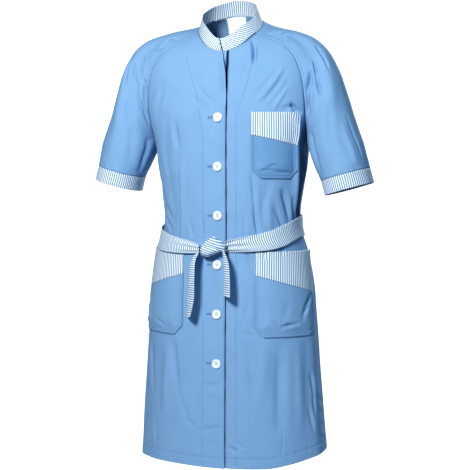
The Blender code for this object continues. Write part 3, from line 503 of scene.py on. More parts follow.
def creaseHeights(rows, a, b, depth=1.0):
    # sum over the creases of height sin(pi along)^0.8 times the crease's section, which is
    # exp(-(sideways/half)^2) less rim exp(-((sideways - rimPlace half)/(rimHalf half))^2)
    total = np.zeros(a.shape)
    for a0, b0, a1, b1, height, half, lean, bend in rows:
        length = math.hypot(a1 - a0, b1 - b0)
        runA, runB = (a1 - a0) / length, (b1 - b0) / length
        along = ((a - a0) * runA + (b - b0) * runB) / length
        inside = np.clip(along, 0, 1)
        sideways = (b - b0) * runA - (a - a0) * runB - 4 * bend * inside * (1 - inside)
        half = creaseShape["narrow"] * half
        wide = np.where(sideways > 0, half * lean, half)
        rim = bell(sideways - creaseShape["rimPlace"] * half, creaseShape["rimHalf"] * half)
        fade = np.sin(np.pi * inside) ** 0.8
        total += height * fade * bell(sideways, wide)
        total -= creaseShape["rim"] * height * fade * rim
    return depth * creaseShape["depth"] * total * mm


def ripple(place, seed, *waves):
    # mean of sines sin(2 pi place/wave + phase), waves in mm, phases set by the seed
    total = np.zeros(np.shape(place))
    for number, wave in enumerate(waves):
        total = total + np.sin(2 * np.pi * place / wave + seed * 2.4 + number * 1.9)
    return total / len(waves)


def drift(a, b, seed):
    # slow unevenness of the cloth: a ripple of a + 0.35 b times a ripple of b - 0.2 a
    return ripple(a + 0.35 * b, seed, 83, 131) * ripple(b - 0.2 * a, seed + 1, 97, 157, 61)


def pucker(distance, place, seed, reach=6.0, height=0.28):
    # small ruffles beside a stitched line: height exp(-(distance/reach)^2) ripple(place)
    return height * mm * bell(distance, reach) * ripple(place, seed, 9.5, 14, 23)


def groove(distance, depth=0.35, half=1.1):
    # a rounded trough along a line: -depth exp(-(distance/half)^2)
    return -depth * mm * bell(distance, half)


def step(distance, height, half=0.9):
    # a smooth step where distance passes 0: height / (1 + exp(-2 distance/half))
    return height * mm / (1 + np.exp(-np.clip(distance / half, -30, 30) * 2))


class Panel:
    # a piece of cloth as a grid of outer points with cloth distances a and b in mm, and normals
    def __init__(self, grid, a, b, facing, ringFrom=None):
        self.grid, self.a, self.b, self.facing, self.ringFrom = grid, a, b, facing, ringFrom
        self.measure()

    def measure(self):
        # normals of the grid, times facing to point at the side that is seen; a ring's two ends,
        # which are one line on the cloth, share theirs
        normals = normalsOf(self.grid) * self.facing
        if self.ringFrom is not None:
            ends = unit(normals[self.ringFrom :, 0] + normals[self.ringFrom :, -1])
            normals[self.ringFrom :, 0] = ends
            normals[self.ringFrom :, -1] = ends
        self.normals = normals

    def raiseBy(self, heights):
        # point + normal * height, the two ends of a ring kept together
        self.grid = self.grid + self.normals * heights[:, :, None]
        if self.ringFrom is not None:
            ends = (self.grid[self.ringFrom :, 0] + self.grid[self.ringFrom :, -1]) / 2
            self.grid[self.ringFrom :, 0] = ends
            self.grid[self.ringFrom :, -1] = ends
        self.measure()
        return self

    def read(self, values, row, column):
        # mean of the four points round each fractional row and column, weighted by nearness
        r = np.clip(row, 0, self.a.shape[0] - 1.001)
        c = np.clip(column, 0, self.a.shape[1] - 1.001)
        i, j = r.astype(int), c.astype(int)
        s, t = r - i, c - j
        if values.ndim == 3:
            s, t = s[..., None], t[..., None]
        upper = values[i, j] * (1 - t) + values[i, j + 1] * t
        return upper * (1 - s) + (values[i + 1, j] * (1 - t) + values[i + 1, j + 1] * t) * s

    def find(self, a, b):
        # fractional row and column of cloth distances, by turns of a secant step along each way
        a, b = np.broadcast_arrays(np.asarray(a, float), np.asarray(b, float))
        rowSkip, columnSkip = 6, 5
        coarseA = self.a[::rowSkip, ::columnSkip]
        coarseB = self.b[::rowSkip, ::columnSkip]
        near = np.abs(coarseA[None] - a.reshape(-1, 1, 1)) + np.abs(coarseB[None] - b.reshape(-1, 1, 1))
        best = near.reshape(len(near), -1).argmin(1).reshape(a.shape)
        row = float(rowSkip) * (best // coarseA.shape[1])
        column = float(columnSkip) * (best % coarseA.shape[1])
        for _ in range(12):
            for values, goal, down in ((self.a, a, False), (self.b, b, True)):
                here = self.read(values, row, column)
                ahead = self.read(values, row + 0.5 * down, column + 0.5 * (not down))
                behind = self.read(values, row - 0.5 * down, column - 0.5 * (not down))
                slope = ahead - behind
                slope = np.where(np.abs(slope) < 1e-6, 1e-6, slope)
                move = np.clip((goal - here) / slope, -4, 4)
                row = row + move * down
                column = column + move * (not down)
        return row, column

    def at(self, a, b):
        # the point and the unit normal at cloth distances a and b
        row, column = self.find(a, b)
        return self.read(self.grid, row, column), unit(self.read(self.normals, row, column))


def hexColour(code):
    # sRGB hex to linear RGBA: ((p + 0.055)/1.055)^2.4, and p/12.92 where p is dark
    parts = [int(code[k : k + 2], 16) / 255 for k in (1, 3, 5)]
    return (*[p / 12.92 if p <= 0.04045 else ((p + 0.055) / 1.055) ** 2.4 for p in parts], 1.0)


def addNode(owner, kind, links=None, **settings):
    # one node with its settings; links holds sockets to join and values to set, by input
    node = owner.node_tree.nodes.new(kind)
    for name, value in settings.items():
        setattr(node, name, value)
    for place, value in (links or {}).items():
        if isinstance(value, bpy.types.NodeSocket):
            owner.node_tree.links.new(value, node.inputs[place])
        else:
            node.inputs[place].default_value = value
    return node


def startMaterial(name):
    # a material with a shader on its output and nothing else
    finish = bpy.data.materials.new(name)
    finish.use_nodes = True
    finish.node_tree.nodes.clear()
    shader = addNode(finish, "ShaderNodeBsdfPrincipled")
    addNode(finish, "ShaderNodeOutputMaterial", {"Surface": shader.outputs[0]})
    return finish, shader


def bandScale(period):
    # a Wave texture's scale for bands that repeat every period metres
    return 2 * math.pi / 20 / period


poplin = dict(
    crevice="#07193C",
    blue="#91B3D4",
    blueDeep="#87AACE",
    stripeBlue="#628FB8",
    stripeWhite="#F2F4F6",
    weave=0.9 * mm,  # real poplin has about 0.25 mm, drawn coarser so that it shows
    stripe=4.5 * mm,
    stripeShare=0.42,  # share of each repeat that is blue
    stripeEdge=0.03,  # half width of the change from white to blue, as a share of the repeat
)


def weaveBump(finish, uv):
    # height = warp wave * weft wave + noise: crossed ribs, with slubs that break them up
    heights = []
    for direction in ("X", "Y"):
        wave = addNode(
            finish, "ShaderNodeTexWave",
            {"Vector": uv, "Scale": bandScale(poplin["weave"]), "Distortion": 0.6, "Detail": 1.0},
            wave_type="BANDS", bands_direction=direction,
        )
        heights.append(wave.outputs["Fac"])
    ribs = addNode(finish, "ShaderNodeMath", {0: heights[0], 1: heights[1]}, operation="MULTIPLY")
    slubs = addNode(finish, "ShaderNodeTexNoise", {"Vector": uv, "Scale": 420.0, "Detail": 3.0})
    both = addNode(finish, "ShaderNodeMath", {0: ribs.outputs[0], 1: slubs.outputs[0]}, operation="ADD")
    bump = addNode(
        finish, "ShaderNodeBump", {"Height": both.outputs[0], "Strength": 0.12, "Distance": 0.2 * mm}
    )
    return bump.outputs[0]


def poplinShader(shader, roughness):
    # what both poplins share: spun fibres scatter the light and leave a faint bluish bloom
    shader.inputs["Roughness"].default_value = roughness
    shader.inputs["Specular IOR Level"].default_value = 0.28
    shader.inputs["Sheen Weight"].default_value = 0.12
    shader.inputs["Sheen Roughness"].default_value = 0.45
    shader.inputs["Sheen Tint"].default_value = (0.86, 0.93, 1.0, 1.0)


def bluePoplin(name, blue, deep):
    # piece-dyed cotton and polyester poplin, plain woven and pressed: matt with a faint bloom; the
    # two blues mixed by slow noise, then with the crevice's shade by the piece's own share
    finish, shader = startMaterial(name)
    uv = addNode(finish, "ShaderNodeUVMap", uv_map="cloth").outputs[0]
    cloud = addNode(finish, "ShaderNodeTexNoise", {"Vector": uv, "Scale": 26.0, "Detail": 4.0})
    colour = addNode(
        finish, "ShaderNodeMix",
        {0: cloud.outputs[0], 6: hexColour(blue), 7: hexColour(deep)},
        data_type="RGBA",
    )
    depth = addNode(finish, "ShaderNodeAttribute", attribute_name="shade").outputs["Fac"]
    shaded = addNode(
        finish, "ShaderNodeMix", {0: depth, 6: colour.outputs[2], 7: hexColour(poplin["crevice"])},
        data_type="RGBA",
    )
    finish.node_tree.links.new(shaded.outputs[2], shader.inputs["Base Color"])
    finish.node_tree.links.new(weaveBump(finish, uv), shader.inputs["Normal"])
    poplinShader(shader, 0.82)
    return finish


def stripedPoplin():
    # yarn-dyed poplin: blue warp threads between white ones, so the stripes have crisp edges; blue
    # where the way across, in repeats and folded over at each half, is under half the blue share
    finish, shader = startMaterial("striped_poplin_yarn_dyed")
    uv = addNode(finish, "ShaderNodeUVMap", uv_map="cloth").outputs[0]
    parts = addNode(finish, "ShaderNodeSeparateXYZ", {0: uv})
    turns = addNode(
        finish, "ShaderNodeMath", {0: parts.outputs[0], 1: 1 / poplin["stripe"]}, operation="MULTIPLY"
    )
    share = addNode(finish, "ShaderNodeMath", {0: turns.outputs[0], 1: 2.0}, operation="PINGPONG")
    share.inputs[1].default_value = 0.5
    edge, soft = poplin["stripeShare"] / 2, poplin["stripeEdge"]
    blue = addNode(
        finish, "ShaderNodeMapRange",
        {0: share.outputs[0], 1: edge - soft, 2: edge + soft, 3: 1.0, 4: 0.0},
    )
    colour = addNode(
        finish, "ShaderNodeMix",
        {0: blue.outputs[0], 6: hexColour(poplin["stripeWhite"]), 7: hexColour(poplin["stripeBlue"])},
        data_type="RGBA",
    )
    finish.node_tree.links.new(colour.outputs[2], shader.inputs["Base Color"])
    finish.node_tree.links.new(weaveBump(finish, uv), shader.inputs["Normal"])
    poplinShader(shader, 0.8)
    return finish


def plainFinish(name, code, roughness, level=0.5, coat=0.0):
    # one colour, up to 4% darker by a fine noise that also roughens the surface a little
    finish, shader = startMaterial(name)
    spot = addNode(finish, "ShaderNodeTexCoord").outputs["Object"]
    noise = addNode(finish, "ShaderNodeTexNoise", {"Vector": spot, "Scale": 900.0, "Detail": 2.0})
    shade = addNode(finish, "ShaderNodeMapRange", {0: noise.outputs[0], 3: 0.96, 4: 1.0})
    colour = addNode(
        finish, "ShaderNodeMix", {0: shade.outputs[0], 6: (0, 0, 0, 1), 7: hexColour(code)},
        data_type="RGBA",
    )
    bump = addNode(
        finish, "ShaderNodeBump", {"Height": noise.outputs[0], "Strength": 0.15, "Distance": 0.1 * mm}
    )
    finish.node_tree.links.new(colour.outputs[2], shader.inputs["Base Color"])
    finish.node_tree.links.new(bump.outputs[0], shader.inputs["Normal"])
    shader.inputs["Roughness"].default_value = roughness
    shader.inputs["Specular IOR Level"].default_value = level
    shader.inputs["Coat Weight"].default_value = coat
    shader.inputs["Coat Roughness"].default_value = 0.12
    return finish


blueCloth = bluePoplin("blue_poplin_piece_dyed", poplin["blue"], poplin["blueDeep"])
# the chest pocket is drawn in a deeper blue: painted shade, for the shade it lies in below the arm
pocketShadeCloth = bluePoplin("blue_poplin_painted_shade", "#80A6CB", "#779EC4")
stripedCloth = stripedPoplin()
# turned polyester resin, polished: clean white with a soft highlight on its rim
buttonResin = plainFinish("white_polyester_button", "#F2F3F2", 0.28, 0.5, 0.35)
# spun polyester sewing thread, a shade deeper than the cloth
blueThread = plainFinish("blue_sewing_thread", "#3F70A8", 0.7, 0.3)
whiteThread = plainFinish("white_sewing_thread", "#EDEFF2", 0.7, 0.3)
# woven satin label, blank: smooth white with a slight shine
labelSatin = plainFinish("white_satin_label", "#FFFFFF", 0.5, 0.4)
# painted light: the label glows faintly of its own, so that it reads white in the shade inside the neck
labelPaintedGlowSockets = labelSatin.node_tree.nodes["Principled BSDF"].inputs
labelPaintedGlowSockets["Emission Color"].default_value = (1.0, 1.0, 1.0, 1.0)
labelPaintedGlowSockets["Emission Strength"].default_value = 0.16
# buttonhole twist, deeper than the cloth because the stitches shade each other
twist = plainFinish("buttonhole_thread", "#4A7DB5", 0.7, 0.3)


def linked(name, data):
    # an object that carries the data, linked to the scene
    made = bpy.data.objects.new(name, data)
    bpy.context.scene.collection.objects.link(made)
    return made


def meshObject(name, points, faces, finish, uv=None, uvFaces=None):
    # a piece with one material that rides the root; uvFaces says which uv each corner reads
    mesh = bpy.data.meshes.new(name)
    mesh.from_pydata(points, [], faces)
    if uv is not None:
        layer = mesh.uv_layers.new(name="cloth")
        layer.data.foreach_set("uv", uv[np.asarray(uvFaces).ravel()].ravel())
    mesh.materials.append(finish)
    mesh.shade_smooth()
    piece = linked(name, mesh)
    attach(piece, "root")
    return piece


def gridFaces(rows, columns):
    # four corners a cell: (i, j), (i, j + 1), (i + 1, j + 1), (i + 1, j), numbered row by row
    corner = np.arange(rows - 1)[:, None] * columns + np.arange(columns - 1)
    return np.stack([corner, corner + 1, corner + columns + 1, corner + columns], -1).reshape(-1, 4)


def shell(name, panel, finish, replaced, uv=None, thickness=cloth["thickness"]):
    # a closed thin wall: the panel's points, the same less normal * thickness, and a rim of faces
    # along the edges that only one face has; a ring's last column is its first one again
    rows, columns = panel.grid.shape[:2]
    count = rows * columns
    plain = gridFaces(rows, columns)
    faces = plain
    if panel.ringFrom is not None:
        ring = (faces % columns == columns - 1) & (faces // columns >= panel.ringFrom)
        faces = np.where(ring, faces - (columns - 1), faces)
    if panel.facing > 0:
        faces, plain = faces[:, ::-1], plain[:, ::-1]
    inner = panel.grid - panel.normals * thickness
    edges = np.concatenate([faces[:, [k, (k + 1) % 4]] for k in range(4)])
    plainEdges = np.concatenate([plain[:, [k, (k + 1) % 4]] for k in range(4)])
    _, index, times = np.unique(np.sort(edges, axis=1), axis=0, return_index=True, return_counts=True)
    rim, plainRim = edges[index[times == 1]], plainEdges[index[times == 1]]
    join = [np.stack([e[:, 1], e[:, 0], e[:, 0] + count, e[:, 1] + count], -1) for e in (rim, plainRim)]
    everything = np.concatenate([faces, faces[:, ::-1] + count, join[0]])
    uvFaces = np.concatenate([plain, plain[:, ::-1] + count, join[1]])
    used, numbered = np.unique(everything, return_inverse=True)
    points = np.concatenate([panel.grid.reshape(-1, 3), inner.reshape(-1, 3)])
    if uv is None:
        uv = np.stack([panel.a, panel.b], -1) * mm
    flat = np.concatenate([uv.reshape(-1, 2), uv.reshape(-1, 2)])
    piece = meshObject(name, points[used], numbered.reshape(-1, 4), finish, flat, uvFaces)
    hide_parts(*replaced)
    return piece


def shadeBy(piece, values):
    # a share for each outer point, read by the poplin: the shade in a gap too narrow to be lit
    layer = piece.data.attributes.new("shade", "FLOAT", "POINT")
    layer.data.foreach_set("value", np.concatenate([values.ravel(), 0 * values.ravel()]))


def spread(*stops):
    # even steps from start to end of each stop, and the last end itself
    parts = [np.linspace(start, end, steps, endpoint=False) for start, end, steps in stops]
    return np.concatenate(parts + [np.array([stops[-1][1]], float)])


def arcFrom(grid, column):
    # distance along each row from one column, in mm
    steps = np.linalg.norm(np.diff(grid, axis=1), axis=2)
    total = np.concatenate([np.zeros((len(grid), 1)), np.cumsum(steps, axis=1)], axis=1)
    return (total - total[:, column : column + 1]) / mm


upperLevels = spread((0, 3, 42), (3, underarm, 46))
lowerLevels = spread((underarm, 11, 50), (11, 13, 30), (13, 16.5, 84), (16.5, hem, 24))
bodyLevels = np.concatenate([upperLevels[:-1], lowerLevels])
softRows = 9  # half width, in rows, of the softening near the underarm
# Seams, in mm: a groove, ruffles beside it, and how far from a seam and the neck creases start.
seams = dict(depth=0.7, half=1.5, ruffle=9, quiet=7, neckQuiet=8)

# The fronts, in mm: row is a row's rough length, and the last columns lie close together by the
# seam. The tuck, in metres, starts at the height tuckTop and is full tuckReach lower.
frontSizes = dict(
    edgeStitch=3.0, hemFold=20.0, columns=118, lapColumns=9, row=260,
    lastColumns=(3.0, 1.8, 1.0, 0.5, 0.0), tuckTop=-0.3, tuckReach=0.06,
)


def soften(grid, share, half):
    # points + share (mean - points), the mean over rows up and down weighted exp(-(rows/half)^2)
    weights = bell(np.arange(-2 * half, 2 * half + 1), half)
    padded = np.concatenate([grid[:1]] * 2 * half + [grid] + [grid[-1:]] * 2 * half)
    count = len(grid)
    mean = sum(w * padded[k : k + count] for k, w in enumerate(weights)) / weights.sum()
    return grid + (mean - grid) * share[:, :, None]


def underarmShare(levels, fromSeam):
    # how far each point is softened: exp(-((level - underarm)/1.2)^2), less and less to the seams
    return bell(levels - underarm, 1.2)[:, None] * (1 - bell(fromSeam, 22))


def seamHeights(fromSeam, b, seed):
    # the sunk seam and the ruffles that it draws into the cloth beside it
    return groove(fromSeam, seams["depth"], seams["half"]) + pucker(fromSeam, b, seed, seams["ruffle"])


def buildFront(side, creases):
    # a front's rows raised by its creases and drift, by the grooves, steps and ruffles of seam, hem
    # and facing, and along the lap: the left front dips under the right one's edge, which lifts
    ends = 1 - np.array(frontSizes["lastColumns"]) / frontSizes["row"]
    lap = spread((-1, 0, frontSizes["lapColumns"]))[:-1]
    u = np.concatenate([lap, np.linspace(0, 1 - 4.6 / frontSizes["row"], frontSizes["columns"]), ends])
    grid = frontRows(side, bodyLevels, u)
    # the skirt's seam edge tucks 1 mm under the back, so that no light shows through the seam
    tuck = np.clip((frontSizes["tuckTop"] - grid[:, -1:, 2]) / frontSizes["tuckReach"], 0, 1)
    inward = -normalsOf(grid)[:, -1] * side
    grid[:, -1] += tuck * (unit(grid[:, -1] - grid[:, -2]) * 1.0 + inward * 0.5) * mm
    a = arcFrom(grid, frontSizes["lapColumns"])
    fromSeam = a[:, -1:] - a
    grid = soften(grid, underarmShare(bodyLevels, fromSeam), softRows)
    b = grid[:, :, 2] / mm
    panel = Panel(grid, a, b, side)
    fromHem = b - b[-1:, :]
    fromFold = fromHem - frontSizes["hemFold"]
    fromNeck = np.linalg.norm(grid - grid[:1], axis=2) / mm
    height = creaseHeights(creases, a, b) + 0.5 * mm * drift(a, b, side + 2)
    height = height * (1 - bell(fromSeam, seams["quiet"])) * (1 - bell(fromNeck, seams["neckQuiet"]))
    height += seamHeights(fromSeam, b, side + 3)
    height += groove(fromFold, 0.8, 1.6) + pucker(fromFold, a, 5, 7, 0.45)
    height += step(frontSizes["hemFold"] - fromHem, 0.35)
    edge = a[:, :1]
    line = facingLine(side, b)
    height += groove(a - line, 0.7, 1.6) + pucker(a - line, b, side + 6, 6, 0.42)
    height += step(line - a, 0.3)
    if side > 0:
        under = 4.5 * (1 + 0.3 * ripple(b, 5, 71, 44)) * bell(a - 12.5, 4.5)
        height -= under * mm * np.clip((-62 - b) / 20, 0, 1)
    if side < 0:
        lift = np.interp(b, (-892, -200, -150, -120, -80, -60), (1.5, 2.0, 3.6, 5.4, 4.8, 1.2))
        height += lift * mm * (1 + 0.4 * ripple(b, 5, 71, 44)) * bell(a - edge, 10)
        height += pucker(a - edge - frontSizes["edgeStitch"], b, 9, 4, 0.16)
    return panel.raiseBy(height)


def facingLine(side, b):
    # distance of the facing's stitched line from the centre, by height; it widens at the neck
    if side < 0:
        return np.interp(b, (-892, -620, -340, -234, -143, -60, -32), (31, 30, 32, 32, 49, 84, 98))
    return np.interp(b, (-892, -360, -191, -165, -119, -82, -38), (40, 37, 37, 48, 60, 68, 71))


# The shaded gaps: their places are distances round the left front, and deep is the fullest shade.
shadeSizes = dict(edge=12.6, fold=197, foldHalf=19, foldDeep=0.6, neckHalf=3.0, neckDeep=0.85)


def gapShade(grid, a, b):
    # share = exp(-(distance/half)^4) under the upper front's edge, plus exp(-(distance/half)^2) in
    # the deep fold below the arm and under the collar, each fading out at its ends
    half = np.interp(b, (-892, -420, -250, -150, -90, -60), (1.3, 1.6, 2.0, 2.9, 3.2, 2.6))
    edge = np.exp(-(((a - shadeSizes["edge"]) / half) ** 4))
    edge = edge * np.interp(b, (-892, -470, -300, -60), (0.5, 0.72, 0.95, 1.0))
    fold = shadeSizes["foldDeep"] * bell(a - shadeSizes["fold"], shadeSizes["foldHalf"])
    fold = fold * np.interp(b, (-455, -400, -225, -170), (0, 1, 1, 0))
    fromNeck = np.linalg.norm(grid - grid[:1], axis=2) / mm
    neck = shadeSizes["neckDeep"] * bell(fromNeck, shadeSizes["neckHalf"])
    neck = neck * np.interp(grid[:, :, 0], (0.035, 0.05), (0, 1))
    return np.clip(edge + fold + neck, 0, 1)


frontPanels = {
    -1: buildFront(-1, frontRightCreases),
    1: buildFront(1, frontLeftCreases),
}
for side, name in ((-1, "front_right"), (1, "front_left")):
    piece = shell(name + "_cloth", frontPanels[side], blueCloth, [name])
    if side > 0:
        shadeBy(piece, gapShade(frontPanels[side].grid, frontPanels[side].a, frontPanels[side].b))
print("fronts made")

# The back is one piece, its columns close together by the seams.
backColumns = spread((-1, -0.98, 5), (-0.98, 0.98, 150), (0.98, 1, 5))


def buildBack():
    # the back's rows raised by its creases and drift, and by the seams' and the hem's lines
    grid = backRows(bodyLevels, backColumns)
    a = arcFrom(grid, len(backColumns) // 2)
    b = grid[:, :, 2] / mm
    fromSeam = np.minimum(a[:, -1:] - a, a - a[:, :1])
    grid = soften(grid, underarmShare(bodyLevels, fromSeam), softRows)
    fromHem = b - b[-1:, :]
    fromFold = fromHem - frontSizes["hemFold"]
    fromNeck = np.linalg.norm(grid - grid[:1], axis=2) / mm
    height = creaseHeights(backCreases, a, b) + 0.6 * mm * drift(a, b, 4)
    height *= (1 - bell(fromSeam, seams["quiet"])) * (1 - bell(fromNeck, seams["neckQuiet"]))
    height += seamHeights(fromSeam, b, 4)
    height += groove(fromFold, 0.4) + pucker(fromFold, a, 8, 7)
    height += step(frontSizes["hemFold"] - fromHem, 0.35)
    return Panel(grid, a, b, -1).raiseBy(height)


backPanel = buildBack()
piece = shell("back_cloth", backPanel, blueCloth, ["back"])
print("back made")

# The sleeves and cuffs: columns are those from a seam to the top line, and firstColumns lie close
# together by the seam, in mm of a half row of the length halfRow.
sleeveSizes = dict(
    columns=76, cuffRows=22, sleeveRows=46, halfRow=150, firstColumns=(0.0, 0.5, 1.0, 1.8, 3.0),
    creaseDepth=1.3, cuffQuiet=5,
)


def sleeveShape(side, at):
    # rows of a sleeve or cuff, with the distance round from the top line and down along it
    ends = np.array(sleeveSizes["firstColumns"]) / sleeveSizes["halfRow"]
    half = np.linspace(4.6 / sleeveSizes["halfRow"], 1, sleeveSizes["columns"])
    u = np.concatenate([ends, half, 2 - half[-2::-1], 2 - ends[::-1]])
    grid = sleeveRows(side, at, u)
    middle = len(u) // 2
    a = arcFrom(grid, middle)
    b = np.broadcast_to((lengthAlong(grid[:, middle]) / mm)[:, None], a.shape)
    return grid, a, b


def buildSleeve(side, creases):
    # a sleeve's rows raised by its creases and drift, and by the seams' and the cuff's lines
    below = spread((underarm, cuffTop - cuffSeam, sleeveSizes["sleeveRows"]))
    at = np.concatenate([upperLevels[:-1], below])
    grid, a, b = sleeveShape(side, at)
    ringFrom = int(np.searchsorted(at, underarm))
    fromSeam = np.minimum(a[:, -1:] - a, a - a[:, :1])
    fromCuff = b[-1:] - b
    grid = soften(grid, underarmShare(at, fromSeam), softRows)
    besideBody = np.clip(underarm + 0.6 - at, 0, 1)[:, None]
    fade = 1 - bell(fromSeam, seams["quiet"])
    fade *= 1 - bell(b, seams["neckQuiet"])
    fade *= 1 - bell(fromCuff, sleeveSizes["cuffQuiet"])
    height = creaseHeights(creases, a, b, sleeveSizes["creaseDepth"])
    height = (height + 0.5 * mm * drift(a, b, side + 7)) * fade
    sunk = groove(fromSeam, seams["depth"], seams["half"]) * besideBody
    height += sunk + pucker(fromSeam, b, side + 9, seams["ruffle"])
    height += groove(fromCuff, 0.5, 1.3) + pucker(fromCuff, a, side + 3, 7, 0.35)
    return Panel(grid, a, -b, side, ringFrom).raiseBy(height)


def buildCuff(side):
    # a cuff's rows raised by its seam, the stitched line 3 mm from its end and slow ripples
    grid, a, b = sleeveShape(side, spread((cuffTop, cuffBottom, sleeveSizes["cuffRows"])))
    fromEnd = b[-1:] - b
    height = groove(b, 0.5, 1.3) + pucker(b, a, side + 3, 7, 0.35)
    height += groove(fromEnd - 3, 0.25, 0.9) + pucker(fromEnd - 3, a, side + 5, 4, 0.2)
    height += 0.35 * mm * ripple(a, side + 1, 61, 37) - 0.25 * mm * bell(fromEnd, 0.8)
    return Panel(grid, a, -b, side, 0).raiseBy(height)


doubled = 1.1 * mm  # wall of the pieces folded double: cuffs, collar, belt
sleevePanels = {-1: buildSleeve(-1, sleeveRightCreases), 1: buildSleeve(1, sleeveLeftCreases)}
cuffPanels = {-1: buildCuff(-1), 1: buildCuff(1)}
for side, name in ((-1, "right"), (1, "left")):
    sleeve, cuff = "sleeve_" + name, "cuff_" + name
    piece = shell(sleeve + "_cloth", sleevePanels[side], blueCloth, [sleeve])
    panel = cuffPanels[side]
    piece = shell(cuff + "_cloth", panel, stripedCloth, [cuff], thickness=doubled)
print("sleeves and cuffs made")

# The collar is a curved stand, cut on the straight at the back and on the slant at its ends. Its
# place runs from -1 at the upper end, on the wearer's right, to 1 at the lower one.
collarSizes = dict(
    ends=29.0, sides=27.0, back=33.0,  # heights
    lean=0.30,  # inward for each part upward, and more of it at the place leftPlace
    leftLean=0.38, leftPlace=0.5, leftHalf=0.19,
    slant=-9.0,  # sideways at the ends' upper corners
    shortBy=2.2, shortHalf=0.035,  # how much the lower end stops short of the upper one
    rows=22, count=150,
)


def neckline(side, count):
    # the front's, sleeve's and back's rows at level 0 end to end, read at even distances
    top = np.array([0.0, 0.1])
    u = np.linspace(0, 1, 40)
    front = halfRows(frontTable, top, u)[0]
    over = sleeveRows(side, top, np.linspace(0, 2, 41))[0] * (side, 1, 1)
    line = np.concatenate([front, over, halfRows(backTable, top, u)[0][::-1]])
    along = lengthAlong(line)
    even = np.linspace(0, along[-1], count)
    return np.stack([np.interp(even, along, line[:, k]) for k in range(3)], -1) * (side, 1, 1)


def buildCollar():
    # neckline + up * height, up leaning inwards and kept nearly square to the line
    left, right = neckline(1, collarSizes["count"]), neckline(-1, collarSizes["count"])
    line = np.concatenate([right, left[-2::-1]])
    run = unit(np.gradient(line, axis=0))
    middle = (right[0] + right[-1]) / 2
    place = np.linspace(-1, 1, len(line))
    leftLean = collarSizes["leftLean"] * bell(place - collarSizes["leftPlace"], collarSizes["leftHalf"])
    lean = collarSizes["lean"] + leftLean
    up = unit((middle - line) * (1, 1, 0)) * lean[:, None] + (0, 0, 1)
    up = unit(up - run * np.sum(up * run, axis=1, keepdims=True) * 0.75)
    heights = (collarSizes["ends"], collarSizes["sides"], collarSizes["back"])
    tall = np.interp(1 - np.abs(place), (0, 0.5, 1), heights) * mm
    share = np.linspace(0, 1, collarSizes["rows"])[:, None]
    grid = line + up * (tall * share + cloth["seamGap"])[:, :, None]
    grid[:, :, 0] += collarSizes["slant"] * mm * share * np.abs(place) ** 6
    # the lower end stops short of the upper one, which leaves a dark slit between them
    short = collarSizes["shortBy"] * mm * bell(1 - place, collarSizes["shortHalf"])
    grid -= (run * short[:, None])[None]
    a = lengthAlong(line) / mm
    a = np.broadcast_to(a - a[len(a) // 2], grid.shape[:2])
    b = share * tall / mm
    fromTop = tall / mm - b
    height = groove(b, 0.5, 1.2) + pucker(b, a, 3, 6, 0.3) + 0.5 * mm * np.sin(np.pi * share)
    height += groove(fromTop - 3, 0.2, 0.8) + pucker(fromTop - 3, a, 6, 4, 0.15)
    # the upper end stands proud and the lower one sinks
    height += (1.3 * bell(1 + place, 0.03) - 1.6 * bell(1 - place, 0.05)) * mm
    return Panel(grid, a, b, 1).raiseBy(height)


collarPanel = buildCollar()
# Stripes stand upright at the back and lean over towards the ends, where the cloth is on the bias.
stripeLean = (0.48, 0.48, 0.25, 0, 0, -0.4, -0.82, -0.9)  # sideways for each part upward
turn = np.arctan(np.interp(collarPanel.a, (-175, -110, -85, -55, 55, 85, 110, 175), stripeLean))
phase = np.cumsum(np.cos(turn) * np.gradient(collarPanel.a, axis=1), axis=1)
collarUv = np.stack([phase + collarPanel.b * np.sin(turn), collarPanel.b * np.cos(turn)], -1) * mm
piece = shell("collar_cloth", collarPanel, stripedCloth, ["collar"], collarUv, doubled)
print("collar made")

# The patch pockets: inner and outer are their sides' distances round the front, top and bottom their
# heights on it, and the band's lower edge slants from bandInner to bandOuter below the top.
pocketSizes = {
    "chest_pocket": dict(
        side=1, inner=68.0, outer=166.0, top=-185.0, bottom=-317.0, bandInner=45.0, bandOuter=66.0,
        corner=18.0, gape=1.5, puff=5.5, flat=(0.098, 0.132),
    ),
    "hip_pocket_left": dict(
        side=1, inner=75.0, outer=214.0, top=-463.0, bottom=-632.0, bandInner=46.0, bandOuter=86.0,
        corner=20.0, gape=5.0, puff=4.5, flat=(0.139, 0.169),
    ),
    "hip_pocket_right": dict(
        side=-1, inner=75.0, outer=214.0, top=-463.0, bottom=-632.0, bandInner=46.0, bandOuter=86.0,
        corner=20.0, gape=5.0, puff=4.5, flat=(0.139, 0.169),
    ),
}
# Creases of the pockets' own cloth, in the panel's distances.
pocketCreases = {
    "chest_pocket": (
        (78, -303, 116, -300, -1.0, 4, 1.4, 1), (110, -302, 152, -306, -1.3, 4, 1.5, -1),
        (134, -286, 154, -303, -1.1, 4, 1.3, -1), (96, -296, 120, -290, -1.0, 3.5, 1.2, 1),
        (76, -262, 84, -290, -0.6, 5, 1.2, 0),
    ),
    "hip_pocket_left": (
        (208, -545, 172, -604, -1.8, 6, 1.8, -6), (170, -606, 122, -614, -1.8, 4.5, 1.6, -2),
        (200, -556, 188, -572, -1.4, 3.5, 1.4, 0), (192, -572, 176, -590, -1.4, 3.5, 1.4, 1),
        (150, -612, 136, -606, -1.2, 3, 1.3, 0), (112, -598, 126, -614, -1.0, 3.5, 1.3, 0),
        (92, -560, 98, -604, -0.7, 6, 1.2, 0), (140, -560, 128, -604, -0.7, 8, 1.2, 2),
    ),
    "hip_pocket_right": (
        (206, -560, 160, -616, -1.8, 6, 1.7, -6), (150, -604, 118, -618, -1.5, 4.5, 1.5, -2),
        (196, -600, 184, -612, -1.4, 3, 1.3, 0), (146, -624, 126, -622, -1.3, 2.5, 1.3, 0),
        (108, -598, 120, -616, -0.9, 3.5, 1.3, 0), (170, -560, 158, -596, -0.8, 6, 1.2, 0),
    ),
}
